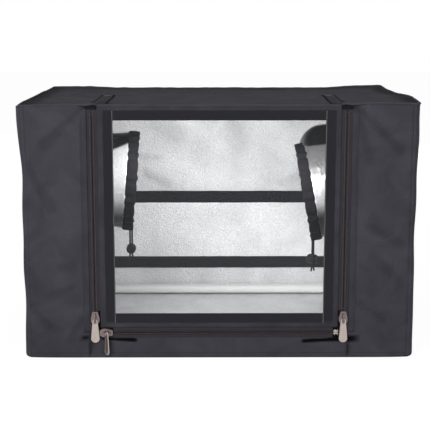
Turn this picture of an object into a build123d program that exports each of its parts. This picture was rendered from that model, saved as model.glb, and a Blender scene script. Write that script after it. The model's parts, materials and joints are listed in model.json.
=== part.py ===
from build123d import *
import os
from math import cos, radians, sin, tan

# Plant propagation tent: a cloth cover over a tube frame, with a zipped window door,
# two duct sleeves with drawcords and a mesh vent with a flap. Millimetres, +Z up,
# the front faces -Y and the origin is the middle of the floor's underside.

# Cover
WIDTH = 600.0
DEPTH = 400.0
HEIGHT = 390.0
CLOTH = 1.0
EDGE_RADIUS = 10.0
PIPING_RADIUS = 1.5
PIPING_RISE = 0.8
FIT = 0.3

# Frame of push-together tubes and corners
TUBE_DIAMETER = 16.0
TUBE_WALL = 0.8
COLLAR_DIAMETER = 20.0
COLLAR_LENGTH = 16.0
BLOCK_RISE = 0.4
SPIGOT_LENGTH = 30.0
SPIGOT_FIT = 0.1

# Door and window
SIDE_PANEL = 109.5
ZIP_HEIGHT = 41.0
WINDOW_SIDE = 31.5
WINDOW_SILL = 71.5
WINDOW_HEAD = 22.0
FILM = 0.5
FILM_LAP = 5.0
FILM_RADIUS = 3.0
BORDER = 15.0
BORDER_THICK = 1.0

# Zips
ZIP_EDGE = 8.0
ZIP_TAPE = 17.0
ZIP_TAPE_THICK = 0.6
CHAIN_HALF = 4.0
CHAIN_THICK = 3.2
CHAIN_SPINE = 1.6
CHAIN_GAP = 0.7
TOOTH_PITCH = 4.5
TOOTH_LENGTH = 2.1
ZIP_TOP = 6.0
ZIP_END_GAP = 1.0
STOP_LENGTH = 9.0
STOP_WIDTH = 9.5
STOP_RISE = 0.6

# Zip sliders
SLIDER_LENGTH = 20.0
SLIDER_WIDTH = 13.0
SLIDER_NOSE = 8.0
SLIDER_TAIL = 7.2
SLIDER_SHOULDER = 5.5
SLIDER_ROUND = 1.2
SLIDER_PLATE = 1.6
SLIDER_FIT = 0.35
SLIDER_PARK = 23.5
NECK = 0.8
NECK_LENGTH = 13.0
BAIL_RADIUS = 1.2
BAIL_HEIGHT = 4.4
BAIL_LENGTH = 10.2
BAIL_FORWARD = 0.9
BAIL_BEND = 1.8

# Zip pulls
PULL_THICK = 1.6
PULL_SLOT = 4.6
PULL_SLOT_LENGTH = 6.4
PULL_RIM = 1.6
PULL_END = 13.0
PULL_LENGTH = 36.5
PULL_END_RISE = 6.0
PULL_RECESS = 0.4
PULL_TWIST = 35.0
PULL_PLAY = 0.6

# Rear vent
FLAP_WIDTH = 450.0
FLAP_TOP = 197.5
FLAP_BOTTOM = 50.5
FLAP_TAPE = 22.0
FLAP_TAPE_THICK = 1.0
VENT_MARGIN = 24.0
NET_THICK = 0.6
NET_PITCH = 20.0
NET_STRAND = 2.0

# Duct sleeves
PORT_DROP = 140.0
PORT_RADIUS = 80.0
SLEEVE = 1.0
CASING_WIDTH = 18.0
CASING_LAP = 1.3
CASING_CHAMFER = 1.2
SLEEVES = {
    "left": {"side": -1, "straight": 30.0, "reach": 151.5, "drop": 3.0, "tilt": 5.0, "turn": 0.0},
    "right": {"side": 1, "straight": 95.0, "reach": 146.4, "drop": 22.0, "tilt": 10.7, "turn": 50.0},
}

# Drawcords and their locks
CORD_DIAMETER = 3.0
CORD_SPACING = 3.6
CORD_SETBACK = 2.5
CORD_DROP = 46.0
CORD_TAIL = 9.0
CORD_SPLAY = 2.6
CORD_ARC_SHARE = 0.45
LOCK_DROP = 34.0
LOCK_RADIUS = 8.0
LOCK_BACK = 10.0
LOCK_FRONT = 6.5
LOCK_WALL = 1.8
LOCK_BACK_ROUND = 4.5
LOCK_FRONT_ROUND = 1.2
BORE_RADIUS = 5.4
CORD_SLOT = 7.4
CORD_SLOT_DEPTH = 3.8
PLUNGER_FIT = 0.2
PLUNGER_END = 3.6
PRESS = 2.5
BUTTON_RADIUS = 6.3
BUTTON_THICK = 2.8
BUTTON_ROUND = 1.0
SPRING_RADIUS = 2.6
SPRING_WIRE = 0.7
SPRING_TURNS = 3

# Tie straps on the roof
STRAP_WIDTH = 20.0
STRAP_LENGTH = 200.0
STRAP_THICK = 1.2
STRAP_INSET = 7.5
STRAP_SETBACK = 10.0

# Places worked out from the sizes above
front = -DEPTH / 2
inner_x = WIDTH / 2 - CLOTH
inner_y = DEPTH / 2 - CLOTH
wall_height = HEIGHT - 2 * CLOTH
straight_x = WIDTH / 2 - EDGE_RADIUS
block = COLLAR_DIAMETER + 2 * BLOCK_RISE
block_round = EDGE_RADIUS - CLOTH - FIT
frame_inset = CLOTH + FIT + block / 2
frame_x = WIDTH / 2 - frame_inset
frame_y = DEPTH / 2 - frame_inset
frame_low = frame_inset
frame_high = HEIGHT - frame_inset
zip_x = WIDTH / 2 - SIDE_PANEL
zip_top = HEIGHT - ZIP_TOP
slider_z = ZIP_HEIGHT + SLIDER_PARK
slider_half = SLIDER_LENGTH / 2
door_x = zip_x - ZIP_EDGE
door_low = ZIP_HEIGHT + ZIP_EDGE
hinge_y = front + CLOTH / 2
hinge_z = HEIGHT + PIPING_RISE
window_x = zip_x - WINDOW_SIDE
window_top = HEIGHT - WINDOW_HEAD
window_height = window_top - WINDOW_SILL
window_z = WINDOW_SILL + window_height / 2
corner_x = zip_x - SLIDER_WIDTH / 2 + ZIP_END_GAP
corner_z = slider_z - slider_half - 2 * ZIP_END_GAP
bottom_slider_x = -corner_x + ZIP_END_GAP + slider_half
tape_level = -CLOTH - ZIP_TAPE_THICK
chain_low = -CLOTH - ZIP_TAPE_THICK / 2 - CHAIN_THICK / 2
chain_high = chain_low + CHAIN_THICK
slider_front = chain_high + SLIDER_FIT
slider_face = slider_front + SLIDER_PLATE
slider_back = chain_low - SLIDER_FIT - SLIDER_PLATE
bail_level = slider_face + BAIL_HEIGHT
ring_outer = PULL_SLOT / 2 + PULL_RIM
ring_mean = PULL_SLOT / 2 + PULL_RIM / 2
port_z = HEIGHT - PORT_DROP
sleeve_radius = PORT_RADIUS + SLEEVE
casing_radius = sleeve_radius + CASING_LAP
flap_height = FLAP_TOP - FLAP_BOTTOM
flap_z = (FLAP_TOP + FLAP_BOTTOM) / 2
flap_back = inner_y - FIT
vent_width = FLAP_WIDTH - 2 * VENT_MARGIN
vent_height = flap_height - 2 * VENT_MARGIN

os.makedirs("parts", exist_ok=True)


def save(piece, name):
    """Label a finished sub-part and write its file."""
    piece.part.label = name
    export_step(piece.part, f"parts/{name}.step")


def front_plane(x, z):
    """Plane on the front cloth's outer face, its own Y up and its Z outwards."""
    return Plane(origin=(x, front, z), x_dir=(1, 0, 0), z_dir=(0, -1, 0))


def sill_plane(x):
    """Plane on the bottom zip's line, its own Y along the zip and its Z outwards."""
    return Plane(origin=(x, front, ZIP_HEIGHT), x_dir=(0, 0, -1), z_dir=(0, -1, 0))


# Frame


def make_tube(name, start, direction, length):
    """Steel tube between the collars of two corners."""
    with BuildPart() as tube:
        with BuildSketch(Plane(origin=start, z_dir=direction)):
            Circle(TUBE_DIAMETER / 2)
            Circle(TUBE_DIAMETER / 2 - TUBE_WALL, mode=Mode.SUBTRACT)
        extrude(amount=length)
    save(tube, name)


def make_corner(name, centre, directions):
    """Moulded corner: a block rounded outside, with a collar and a spigot for each tube."""
    spigot_radius = TUBE_DIAMETER / 2 - TUBE_WALL - SPIGOT_FIT
    outermost = Vector(centre) - sum((Vector(d) for d in directions), Vector()) * (block / 2)
    with BuildPart() as corner:
        with Locations(centre):
            Box(block, block, block)
        fillet(corner.edges().sort_by_distance(outermost)[:3], block_round)
        for direction in directions:
            arm = Plane(origin=centre, z_dir=direction)
            with BuildSketch(arm.offset(block / 2)):
                Circle(COLLAR_DIAMETER / 2)
            extrude(amount=COLLAR_LENGTH - block / 2)
            with BuildSketch(arm.offset(COLLAR_LENGTH)):
                Circle(spigot_radius)
            extrude(amount=SPIGOT_LENGTH)
    save(corner, name)


levels = {"bottom": (frame_low, 1), "top": (frame_high, -1)}
depths = {"front": -1, "back": 1}
sides = {"left": -1, "right": 1}
for depth, sy in depths.items():
    for side, sx in sides.items():
        post_start = (sx * frame_x, sy * frame_y, frame_low + COLLAR_LENGTH)
        post_length = frame_high - frame_low - 2 * COLLAR_LENGTH
        make_tube(f"post_{depth}_{side}", post_start, (0, 0, 1), post_length)
        for level, (z, sz) in levels.items():
            corner_centre = (sx * frame_x, sy * frame_y, z)
            inward = [(-sx, 0, 0), (0, -sy, 0), (0, 0, sz)]
            make_corner(f"corner_{level}_{depth}_{side}", corner_centre, inward)
for level, (z, _) in levels.items():
    for depth, sy in depths.items():
        rail_start = (-frame_x + COLLAR_LENGTH, sy * frame_y, z)
        make_tube(f"rail_{level}_{depth}", rail_start, (1, 0, 0), 2 * (frame_x - COLLAR_LENGTH))
    for side, sx in sides.items():
        rail_start = (sx * frame_x, -frame_y + COLLAR_LENGTH, z)
        make_tube(f"rail_{level}_{side}", rail_start, (0, 1, 0), 2 * (frame_y - COLLAR_LENGTH))

# Cover

with BuildPart() as floor:
    with BuildSketch():
        RectangleRounded(WIDTH, DEPTH, EDGE_RADIUS)
    extrude(amount=CLOTH)
save(floor, "floor_panel")

with BuildPart() as roof:
    with BuildSketch(Plane.XY.offset(HEIGHT - CLOTH)):
        RectangleRounded(WIDTH, DEPTH, EDGE_RADIUS)
        with Locations((0, front)):
            Rectangle(2 * (door_x + FIT), CLOTH + 2 * (PIPING_RADIUS + FIT), mode=Mode.SUBTRACT)
    extrude(amount=CLOTH)
    edge_x = WIDTH / 2 - CLOTH / 2
    with BuildLine(Plane.XY.offset(hinge_z)) as rim:
        FilletPolyline(
            (-door_x - FIT, hinge_y),
            (-edge_x, hinge_y),
            (-edge_x, -hinge_y),
            (edge_x, -hinge_y),
            (edge_x, hinge_y),
            (door_x + FIT, hinge_y),
            radius=EDGE_RADIUS - CLOTH / 2,
        )
    with BuildSketch(Plane(origin=rim.line @ 0, z_dir=rim.line % 0)):
        Circle(PIPING_RADIUS)
    sweep(path=rim.line)
save(roof, "roof_panel")

for side, sx in sides.items():
    with BuildPart() as wall:
        with BuildSketch(Plane.XY.offset(CLOTH)):
            RectangleRounded(WIDTH, DEPTH, EDGE_RADIUS)
            RectangleRounded(2 * inner_x, 2 * inner_y, EDGE_RADIUS - CLOTH, mode=Mode.SUBTRACT)
            with Locations((sx * (WIDTH / 2 - EDGE_RADIUS / 2), 0)):
                Rectangle(EDGE_RADIUS, DEPTH, mode=Mode.INTERSECT)
        extrude(amount=wall_height)
        with BuildSketch(Plane(origin=(sx * WIDTH / 2, 0, port_z), z_dir=(-sx, 0, 0))):
            Circle(PORT_RADIUS)
        extrude(amount=CLOTH, mode=Mode.SUBTRACT)
    save(wall, f"{side}_wall")

with BuildPart() as back_wall:
    with BuildSketch(Plane(origin=(0, inner_y, 0), x_dir=(1, 0, 0), z_dir=(0, -1, 0))):
        with Locations((0, HEIGHT / 2)):
            Rectangle(2 * straight_x, wall_height)
        with Locations((0, flap_z)):
            Rectangle(vent_width + 2 * FIT, vent_height + 2 * FIT, mode=Mode.SUBTRACT)
    extrude(amount=-CLOTH)
save(back_wall, "back_wall")

for side, sx in sides.items():
    with BuildPart() as panel:
        panel_width = straight_x - zip_x - ZIP_EDGE
        with BuildSketch(front_plane(sx * (straight_x - panel_width / 2), HEIGHT / 2)):
            Rectangle(panel_width, wall_height)
        extrude(amount=-CLOTH)
    save(panel, f"front_{side}_panel")

with BuildPart() as sill:
    with BuildSketch(front_plane(0, 0)):
        sill_half = zip_x + ZIP_EDGE
        sill_top = ZIP_HEIGHT - ZIP_EDGE
        with Locations((0, (CLOTH + sill_top) / 2)):
            Rectangle(2 * sill_half, sill_top - CLOTH)
        with Locations(*[(s * (sill_half + corner_x) / 2, (CLOTH + corner_z) / 2) for s in (-1, 1)]):
            Rectangle(sill_half - corner_x, corner_z - CLOTH)
    extrude(amount=-CLOTH)
save(sill, "front_sill")

# Door and window

with BuildPart() as door:
    with BuildSketch(front_plane(0, (door_low + hinge_z) / 2)):
        Rectangle(2 * door_x, hinge_z - door_low)
    extrude(amount=-CLOTH)
    with BuildSketch(front_plane(0, window_z)):
        Rectangle(2 * window_x, window_height)
    extrude(amount=-CLOTH, mode=Mode.SUBTRACT)
    with BuildSketch(Plane(origin=(-door_x, hinge_y, hinge_z), z_dir=(1, 0, 0))):
        Circle(PIPING_RADIUS)
    extrude(amount=2 * door_x)
save(door, "door_panel")

with BuildPart() as film:
    with BuildSketch(front_plane(0, window_z).offset(-CLOTH)):
        RectangleRounded(2 * (window_x + FILM_LAP), window_height + 2 * FILM_LAP, FILM_RADIUS)
    extrude(amount=-FILM)
save(film, "window_film")

with BuildPart() as window_tapes:
    with BuildSketch(front_plane(0, window_z)):
        with Locations(*[(s * (window_x + BORDER / 2), 0) for s in (-1, 1)]):
            Rectangle(BORDER, window_height + 2 * BORDER)
    extrude(amount=BORDER_THICK)
    with BuildSketch(front_plane(0, window_z)):
        with Locations(*[(0, s * (window_height + BORDER) / 2) for s in (-1, 1)]):
            Rectangle(2 * (window_x - FIT), BORDER)
    extrude(amount=BORDER_THICK)
save(window_tapes, "window_tapes")

# Zips


def make_zip_half(name, plane, side, start, end, phase):
    """One zip tape with its row of teeth, on one side of the zip's centre line."""
    length = end - start
    middle = (start + end) / 2
    spine = CHAIN_HALF - CHAIN_SPINE / 2
    tooth = CHAIN_HALF - CHAIN_SPINE - CHAIN_GAP
    tooth_x = side * (CHAIN_GAP + tooth / 2)
    count = int((length - TOOTH_PITCH) / TOOTH_PITCH)
    first = start + TOOTH_PITCH / 2 + phase * TOOTH_PITCH
    places = [(tooth_x, first + i * TOOTH_PITCH) for i in range(count)]
    with BuildPart() as half:
        with BuildSketch(plane.offset(chain_low)):
            with Locations((side * spine, middle)):
                Rectangle(CHAIN_SPINE, length)
            with Locations(*places):
                Rectangle(tooth, TOOTH_LENGTH)
        extrude(amount=CHAIN_THICK)
        with BuildSketch(plane.offset(tape_level)):
            with Locations((side * (spine + ZIP_TAPE) / 2, middle)):
                Rectangle(ZIP_TAPE - spine, length)
        extrude(amount=ZIP_TAPE_THICK)
    save(half, name)


sill_zip_end = corner_x - ZIP_END_GAP - STOP_LENGTH
for side, sx in sides.items():
    line = front_plane(sx * zip_x, 0)
    make_zip_half(f"zip_{side}_frame_half", line, sx, corner_z + FIT, zip_top, 0.0)
    door_start = slider_z + slider_half + ZIP_END_GAP
    make_zip_half(f"zip_{side}_door_half", line, -sx, door_start, zip_top, 0.5)
sill_line = sill_plane(0)
make_zip_half("zip_bottom_frame_half", sill_line, 1, -corner_x + ZIP_END_GAP, sill_zip_end, 0.0)
sill_door_start = bottom_slider_x + slider_half + ZIP_END_GAP
make_zip_half("zip_bottom_door_half", sill_line, -1, sill_door_start, sill_zip_end, 0.5)

with BuildPart() as zip_stop:
    with BuildSketch(sill_plane(sill_zip_end + FIT + STOP_LENGTH / 2).offset(chain_low)):
        RectangleRounded(STOP_WIDTH, STOP_LENGTH, SLIDER_ROUND)
    extrude(amount=CHAIN_THICK + STOP_RISE)
save(zip_stop, "zip_stop")

# Sliders and pulls


# Outline of a slider plate: narrow nose, wide shoulders and a drawn-in tail.
shield = [
    (-SLIDER_NOSE / 2, slider_half),
    (SLIDER_NOSE / 2, slider_half),
    (SLIDER_WIDTH / 2, 0),
    (SLIDER_WIDTH / 2, -SLIDER_SHOULDER),
    (SLIDER_TAIL / 2, -slider_half),
    (-SLIDER_TAIL / 2, -slider_half),
    (-SLIDER_WIDTH / 2, -SLIDER_SHOULDER),
    (-SLIDER_WIDTH / 2, 0),
]


def make_slider(name, plane):
    """Slider: two plates with side flanges, joined by a neck, and a wire bail in front."""
    channel = 2 * (CHAIN_HALF + SLIDER_FIT)
    flange = -CLOTH + SLIDER_FIT
    with BuildPart() as slider:
        for level in (slider_front, slider_back):
            with BuildSketch(plane.offset(level)) as plate:
                Polygon(*shield, align=None)
                fillet(plate.vertices(), SLIDER_ROUND)
            extrude(amount=SLIDER_PLATE)
        flange_runs = (
            (slider_front, flange),
            (slider_back + SLIDER_PLATE, tape_level - SLIDER_FIT),
        )
        for level, reach in flange_runs:
            with BuildSketch(plane.offset(level)) as flanges:
                Polygon(*shield, align=None)
                fillet(flanges.vertices(), SLIDER_ROUND)
                Rectangle(channel, 2 * SLIDER_LENGTH, mode=Mode.SUBTRACT)
            extrude(amount=reach - level)
        with BuildSketch(plane.offset(slider_back + SLIDER_PLATE / 2)):
            Rectangle(NECK, NECK_LENGTH)
        extrude(amount=slider_face - slider_back - SLIDER_PLATE)
        bail_plane = Plane(origin=plane.origin, x_dir=plane.y_dir, z_dir=plane.x_dir)
        bail_low = slider_face - SLIDER_PLATE / 2
        bail_start = BAIL_FORWARD - BAIL_LENGTH / 2
        bail_end = BAIL_FORWARD + BAIL_LENGTH / 2
        with BuildLine(bail_plane) as bail:
            FilletPolyline(
                (bail_start, bail_low),
                (bail_start, bail_level),
                (bail_end, bail_level),
                (bail_end, bail_low),
                radius=BAIL_BEND,
            )
        with BuildSketch(Plane(origin=bail.line @ 0, z_dir=bail.line % 0)):
            Circle(BAIL_RADIUS)
        sweep(path=bail.line)
    save(slider, name)


def make_pull(name, plane):
    """Pull tab hanging along its plane's -Y from the loop's top bar at the origin."""
    slot_gap = PULL_SLOT_LENGTH - PULL_SLOT
    slot_low = PULL_RIM / 2 + PULL_SLOT_LENGTH
    end_y = PULL_END_RISE - PULL_LENGTH
    face = plane.offset(PULL_THICK / 2)
    plate = (-ring_mean, ring_outer, 0, -PULL_THICK, Mode.ADD)
    recess = (-slot_low - PULL_RIM, ring_outer - PULL_RIM, PULL_RIM, -PULL_RECESS, Mode.SUBTRACT)
    with BuildPart() as pull:
        for top, top_half, inset, depth, mode in (plate, recess):
            end_half = PULL_END / 2 - inset
            with BuildSketch(face):
                with BuildLine():
                    taper = Polyline((-end_half, end_y), (-top_half, top), (top_half, top), (end_half, end_y))
                    ThreePointArc(taper @ 1, (0, inset - PULL_LENGTH), taper @ 0)
                make_face()
            extrude(amount=depth, mode=mode)
        with BuildSketch(face):
            with Locations((0, -ring_mean)):
                Circle(ring_outer)
        extrude(amount=-PULL_THICK)
        with BuildSketch(face):
            with Locations((0, -ring_mean - slot_gap / 2)):
                SlotCenterToCenter(slot_gap, PULL_SLOT, rotation=90)
        extrude(amount=-PULL_THICK, mode=Mode.SUBTRACT)
    save(pull, name)


# The side pulls hang flat in front of their sliders, with the loop under the bail.
bar_along = BAIL_FORWARD - BAIL_LENGTH / 2 + BAIL_RADIUS + FIT + PULL_RIM / 2
bar_level = slider_face + FIT + PULL_THICK / 2
for side, sx in sides.items():
    make_slider(f"slider_{side}", front_plane(sx * zip_x, slider_z))
    make_pull(f"pull_{side}", front_plane(sx * zip_x, slider_z + bar_along).offset(bar_level))

# The bottom pull hangs on its level bail, turned part way towards the zip.
make_slider("slider_bottom", sill_plane(bottom_slider_x))
twist = radians(PULL_TWIST)
hang = BAIL_RADIUS + PULL_PLAY + PULL_RIM / 2
make_pull(
    "pull_bottom",
    Plane(
        origin=(bottom_slider_x + BAIL_FORWARD, front - bail_level, ZIP_HEIGHT + hang),
        x_dir=(sin(twist), -cos(twist), 0),
        z_dir=(-cos(twist), -sin(twist), 0),
    ),
)

# Rear vent

net_y = DEPTH / 2 - CLOTH / 2 - NET_THICK / 2
vent_plane = Plane(origin=(0, net_y, flap_z), x_dir=(1, 0, 0), z_dir=(0, 1, 0))
with BuildPart() as net:
    with BuildSketch(vent_plane):
        Rectangle(vent_width, vent_height)
        columns = int((vent_width - NET_STRAND) / NET_PITCH)
        rows = int((vent_height - NET_STRAND) / NET_PITCH)
        with GridLocations(NET_PITCH, NET_PITCH, columns, rows):
            Rectangle(NET_PITCH - NET_STRAND, NET_PITCH - NET_STRAND, mode=Mode.SUBTRACT)
    extrude(amount=NET_THICK)
save(net, "vent_net")

flap_plane = Plane(origin=(0, flap_back, flap_z), x_dir=(1, 0, 0), z_dir=(0, -1, 0))
with BuildPart() as flap:
    with BuildSketch(flap_plane):
        Rectangle(FLAP_WIDTH, flap_height)
    extrude(amount=CLOTH)
save(flap, "vent_flap")

with BuildPart() as flap_tapes:
    with BuildSketch(flap_plane.offset(CLOTH)):
        with Locations(*[(0, s * (flap_height - FLAP_TAPE) / 2) for s in (-1, 1)]):
            Rectangle(FLAP_WIDTH, FLAP_TAPE)
    extrude(amount=FLAP_TAPE_THICK)
    with BuildSketch(flap_plane.offset(CLOTH)):
        with Locations(*[(s * (FLAP_WIDTH - FLAP_TAPE) / 2, 0) for s in (-1, 1)]):
            Rectangle(FLAP_TAPE, flap_height - 2 * (FLAP_TAPE + FIT))
    extrude(amount=FLAP_TAPE_THICK)
save(flap_tapes, "vent_flap_tapes")

# Duct sleeves, drawcords and cord locks


def make_sleeve(name, root, straight, casing_back):
    """Cloth duct: a straight stretch at the wall, then a sagging one to the casing."""
    bend = root.offset(straight)
    with BuildPart() as sleeve:
        for radius, mode in ((sleeve_radius, Mode.ADD), (PORT_RADIUS, Mode.SUBTRACT)):
            with BuildSketch(root):
                Circle(radius)
            extrude(amount=straight, mode=mode)
            with BuildSketch(bend):
                Circle(radius)
            with BuildSketch(casing_back):
                Circle(radius)
            loft(ruled=True, mode=mode)
    save(sleeve, name)


def make_casing(name, casing_back):
    """Hem at the sleeve's mouth that holds the drawcord."""
    with BuildPart() as casing:
        with BuildSketch(casing_back):
            Circle(casing_radius)
            Circle(PORT_RADIUS - CASING_LAP, mode=Mode.SUBTRACT)
        extrude(amount=CASING_WIDTH)
        chamfer(casing.edges(), CASING_CHAMFER)
    save(casing, name)


def make_cords(name, top, across):
    """Two cord ends that hang straight through the lock and splay below it."""
    with BuildPart() as cords:
        for s in (-1, 1):
            start = top + across * (s * CORD_SPACING / 2)
            knee = start + Vector(0, 0, -CORD_DROP)
            end = knee + across * (s * CORD_SPLAY) + Vector(0, 0, -CORD_TAIL)
            turn = radians((knee - start).get_angle(end - knee))
            bend = CORD_ARC_SHARE * (end - knee).length / tan(turn / 2)
            print(f"{name}: bend radius {bend:.1f} mm")
            with BuildLine() as route:
                FilletPolyline(start, knee, end, radius=bend)
            with BuildSketch(Plane(origin=route.line @ 0, z_dir=route.line % 0)):
                Circle(CORD_DIAMETER / 2)
            sweep(path=route.line)
    save(cords, name)


def make_lock(name, lock):
    """Barrel of a cord lock, bored for its plunger and slotted for the two cords."""
    profile = Plane(origin=lock.origin, x_dir=lock.x_dir, z_dir=-lock.y_dir)
    slot = Plane(origin=lock.origin, x_dir=lock.x_dir, z_dir=lock.y_dir)
    with BuildPart() as barrel:
        with BuildSketch(profile):
            Polygon(
                (0, -LOCK_BACK),
                (LOCK_RADIUS, -LOCK_BACK),
                (LOCK_RADIUS, LOCK_FRONT),
                (BORE_RADIUS, LOCK_FRONT),
                (BORE_RADIUS, -LOCK_BACK + LOCK_WALL),
                (0, -LOCK_BACK + LOCK_WALL),
                align=None,
            )
        revolve(axis=Axis(lock.origin, lock.z_dir))
        rims = barrel.edges().filter_by(GeomType.CIRCLE).group_by(Axis(lock.origin, lock.z_dir))
        fillet(rims[0], LOCK_BACK_ROUND)
        fillet(rims[-1].sort_by(SortBy.RADIUS)[-1], LOCK_FRONT_ROUND)
        with BuildSketch(slot):
            Rectangle(CORD_SLOT, CORD_SLOT_DEPTH)
        extrude(amount=LOCK_RADIUS + FIT, both=True, mode=Mode.SUBTRACT)
    save(barrel, name)


def make_plunger(name, lock):
    """Plunger with its push button, and a slot that clears the cords when pressed."""
    slot = Plane(origin=lock.origin, x_dir=lock.x_dir, z_dir=lock.y_dir)
    button_level = LOCK_FRONT + PRESS + PLUNGER_FIT
    with BuildPart() as plunger:
        with BuildSketch(lock.offset(-PLUNGER_END)):
            Circle(BORE_RADIUS - PLUNGER_FIT)
        extrude(amount=PLUNGER_END + button_level)
        with BuildSketch(lock.offset(button_level)):
            Circle(BUTTON_RADIUS)
        extrude(amount=BUTTON_THICK)
        fillet(plunger.faces().sort_by(Axis(lock.origin, lock.z_dir))[-1].edges(), BUTTON_ROUND)
        with BuildSketch(slot):
            with Locations((0, -PRESS / 2)):
                Rectangle(CORD_SLOT, CORD_SLOT_DEPTH + PRESS)
        extrude(amount=LOCK_RADIUS, both=True, mode=Mode.SUBTRACT)
    save(plunger, name)


def make_spring(name, lock):
    """Coil spring between the barrel's end and the plunger, in quarter-turn arcs."""
    low = -LOCK_BACK + LOCK_WALL + SPRING_WIRE / 2 + PLUNGER_FIT
    high = -PLUNGER_END - SPRING_WIRE / 2 - PLUNGER_FIT
    steps = 8 * SPRING_TURNS
    points = []
    for i in range(steps + 1):
        angle = radians(360 * SPRING_TURNS * i / steps)
        rise = low + (high - low) * i / steps
        local = Vector(SPRING_RADIUS * cos(angle), SPRING_RADIUS * sin(angle), rise)
        points.append(lock.from_local_coords(local))
    gap = (high - low) / SPRING_TURNS - SPRING_WIRE
    print(f"{name}: gap between turns {gap:.2f} mm")
    with BuildPart() as spring:
        with BuildLine() as coil:
            for i in range(0, steps, 2):
                ThreePointArc(points[i], points[i + 1], points[i + 2])
        with BuildSketch(Plane(origin=coil.line @ 0, z_dir=coil.line % 0)):
            Circle(SPRING_WIRE / 2)
        sweep(path=coil.line)
    save(spring, name)


for side, form in SLEEVES.items():
    sx = form["side"]
    tilt = radians(form["tilt"])
    inward = Vector(-sx * cos(tilt), 0, -sin(tilt))
    down = Vector(sx * sin(tilt), 0, -cos(tilt))
    casing_middle = Vector(sx * (inner_x - form["reach"]), 0, port_z - form["drop"])
    casing_back = Plane(origin=casing_middle - inward * (CASING_WIDTH / 2), z_dir=inward)
    port = Plane(origin=(sx * inner_x, 0, port_z), z_dir=(-sx, 0, 0))
    make_sleeve(f"sleeve_{side}", port, form["straight"], casing_back)
    make_casing(f"sleeve_casing_{side}", casing_back)
    hem = casing_middle + inward * (CASING_WIDTH / 2 - CORD_SETBACK) + down * casing_radius
    top = hem + Vector(0, 0, -FIT)
    turn = radians(form["turn"])
    across = Vector(cos(turn), sin(turn), 0)
    make_cords(f"drawcord_{side}", top, across)
    lock = Plane(
        origin=top + Vector(0, 0, -LOCK_DROP),
        x_dir=across,
        z_dir=(sin(turn), -cos(turn), 0),
    )
    make_lock(f"cord_lock_{side}", lock)
    make_plunger(f"plunger_{side}", lock)
    make_spring(f"lock_spring_{side}", lock)

# Tie straps

with BuildPart() as straps:
    with BuildSketch(Plane.XY.offset(HEIGHT)):
        strap_y = front + STRAP_SETBACK + STRAP_LENGTH / 2
        with Locations(*[(s * (zip_x - STRAP_INSET), strap_y) for s in (-1, 1)]):
            Rectangle(STRAP_WIDTH, STRAP_LENGTH)
    extrude(amount=STRAP_THICK)
save(straps, "tie_straps")
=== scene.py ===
import json
from math import cos, pi, radians, sin

import bpy
import numpy as np
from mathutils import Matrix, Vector


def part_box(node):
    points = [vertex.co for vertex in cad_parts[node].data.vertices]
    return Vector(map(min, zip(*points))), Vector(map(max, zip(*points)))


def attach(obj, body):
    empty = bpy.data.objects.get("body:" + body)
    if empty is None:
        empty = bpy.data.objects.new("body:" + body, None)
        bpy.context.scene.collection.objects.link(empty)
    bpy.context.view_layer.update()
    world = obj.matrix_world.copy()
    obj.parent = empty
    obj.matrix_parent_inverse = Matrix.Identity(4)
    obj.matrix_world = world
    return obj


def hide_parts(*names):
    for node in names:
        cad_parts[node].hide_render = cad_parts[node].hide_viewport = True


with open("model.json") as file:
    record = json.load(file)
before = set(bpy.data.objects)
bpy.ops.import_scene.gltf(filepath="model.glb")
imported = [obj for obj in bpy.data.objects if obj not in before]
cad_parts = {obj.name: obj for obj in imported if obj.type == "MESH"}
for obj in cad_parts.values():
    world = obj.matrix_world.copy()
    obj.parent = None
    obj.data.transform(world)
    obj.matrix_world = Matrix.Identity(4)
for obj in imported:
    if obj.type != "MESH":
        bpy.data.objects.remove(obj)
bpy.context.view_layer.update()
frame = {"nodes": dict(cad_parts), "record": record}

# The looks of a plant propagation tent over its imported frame. Metres, +Z up, the front faces -Y.

MM = 0.001

# Camera
CAMERA_PLACE = (-0.0154, -1.8325, 0.5265)
CAMERA_PITCH = 10.465
CAMERA_YAW = 0.31
CAMERA_LENS = 92.0
CAMERA_SENSOR = 36.0

# Light, and lamps with place, target, size in metres and power in watts
AMBIENT = 0.46
FLOOR_SIZE = 8.0
FLOOR_GREY = (0.55, 0.55, 0.55)
FLOOR_GLOW = 1.1
FLOOR_GLOW_SHARE = 0.86
LAMPS = {
    "key": ((-1.4, -3.0, 1.4), (0, 0, 0.2), (1.8, 1.8), 86),
    "fill": ((1.8, -2.8, 1.0), (0, 0, 0.2), (1.6, 1.6), 22),
    "rear": ((0.7, 2.6, 0.2), (0, 0, 0.2), (2.6, 0.34), 60),
    "left_side": ((-2.8, 0.6, 0.2), (0, 0, 0.2), (1.8, 0.34), 26),
    "right_side": ((2.8, 0.6, 0.2), (0, 0, 0.2), (1.8, 0.34), 26),
    "inner": ((0, -0.165, 0.34), (0, 0.2, 0.22), (0.3, 0.06), 1.12),
}

# Cover
CLOTH = 1.0 * MM
SKIN = 0.6 * MM
EDGE_RADIUS = 10 * MM
FOOT_RADIUS = 3 * MM
CORNER_FOOT = 5 * MM
GRID = 5 * MM
EDGE_STEP = 2 * MM
FINE_STEP = 2.5 * MM
EDGE_PINCH = 1.6 * MM
EDGE_REACH = 50 * MM
SIDE_BOW = 2.6 * MM
FLARE = 4.5 * MM
WRINKLE = 0.9 * MM
PIPING_RADIUS = 1.5 * MM
ROOF_PIPING = 1.9 * MM
PIPING_SIDES = 10
HEM_WIDTH = 10 * MM
HEM_RISE = 0.5 * MM

# Zips
ZIP_EDGE = 8 * MM
ZIP_TAPE = 17 * MM
COIL_INNER = 0.35 * MM
COIL_OUTER = 3.7 * MM
COIL_PITCH = 2.2 * MM
COIL_WIDTH = 1.5 * MM
COIL_LOW = -2.6 * MM
COIL_HIGH = 0.2 * MM
ZIP_THREAD = 2.7 * MM

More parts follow.
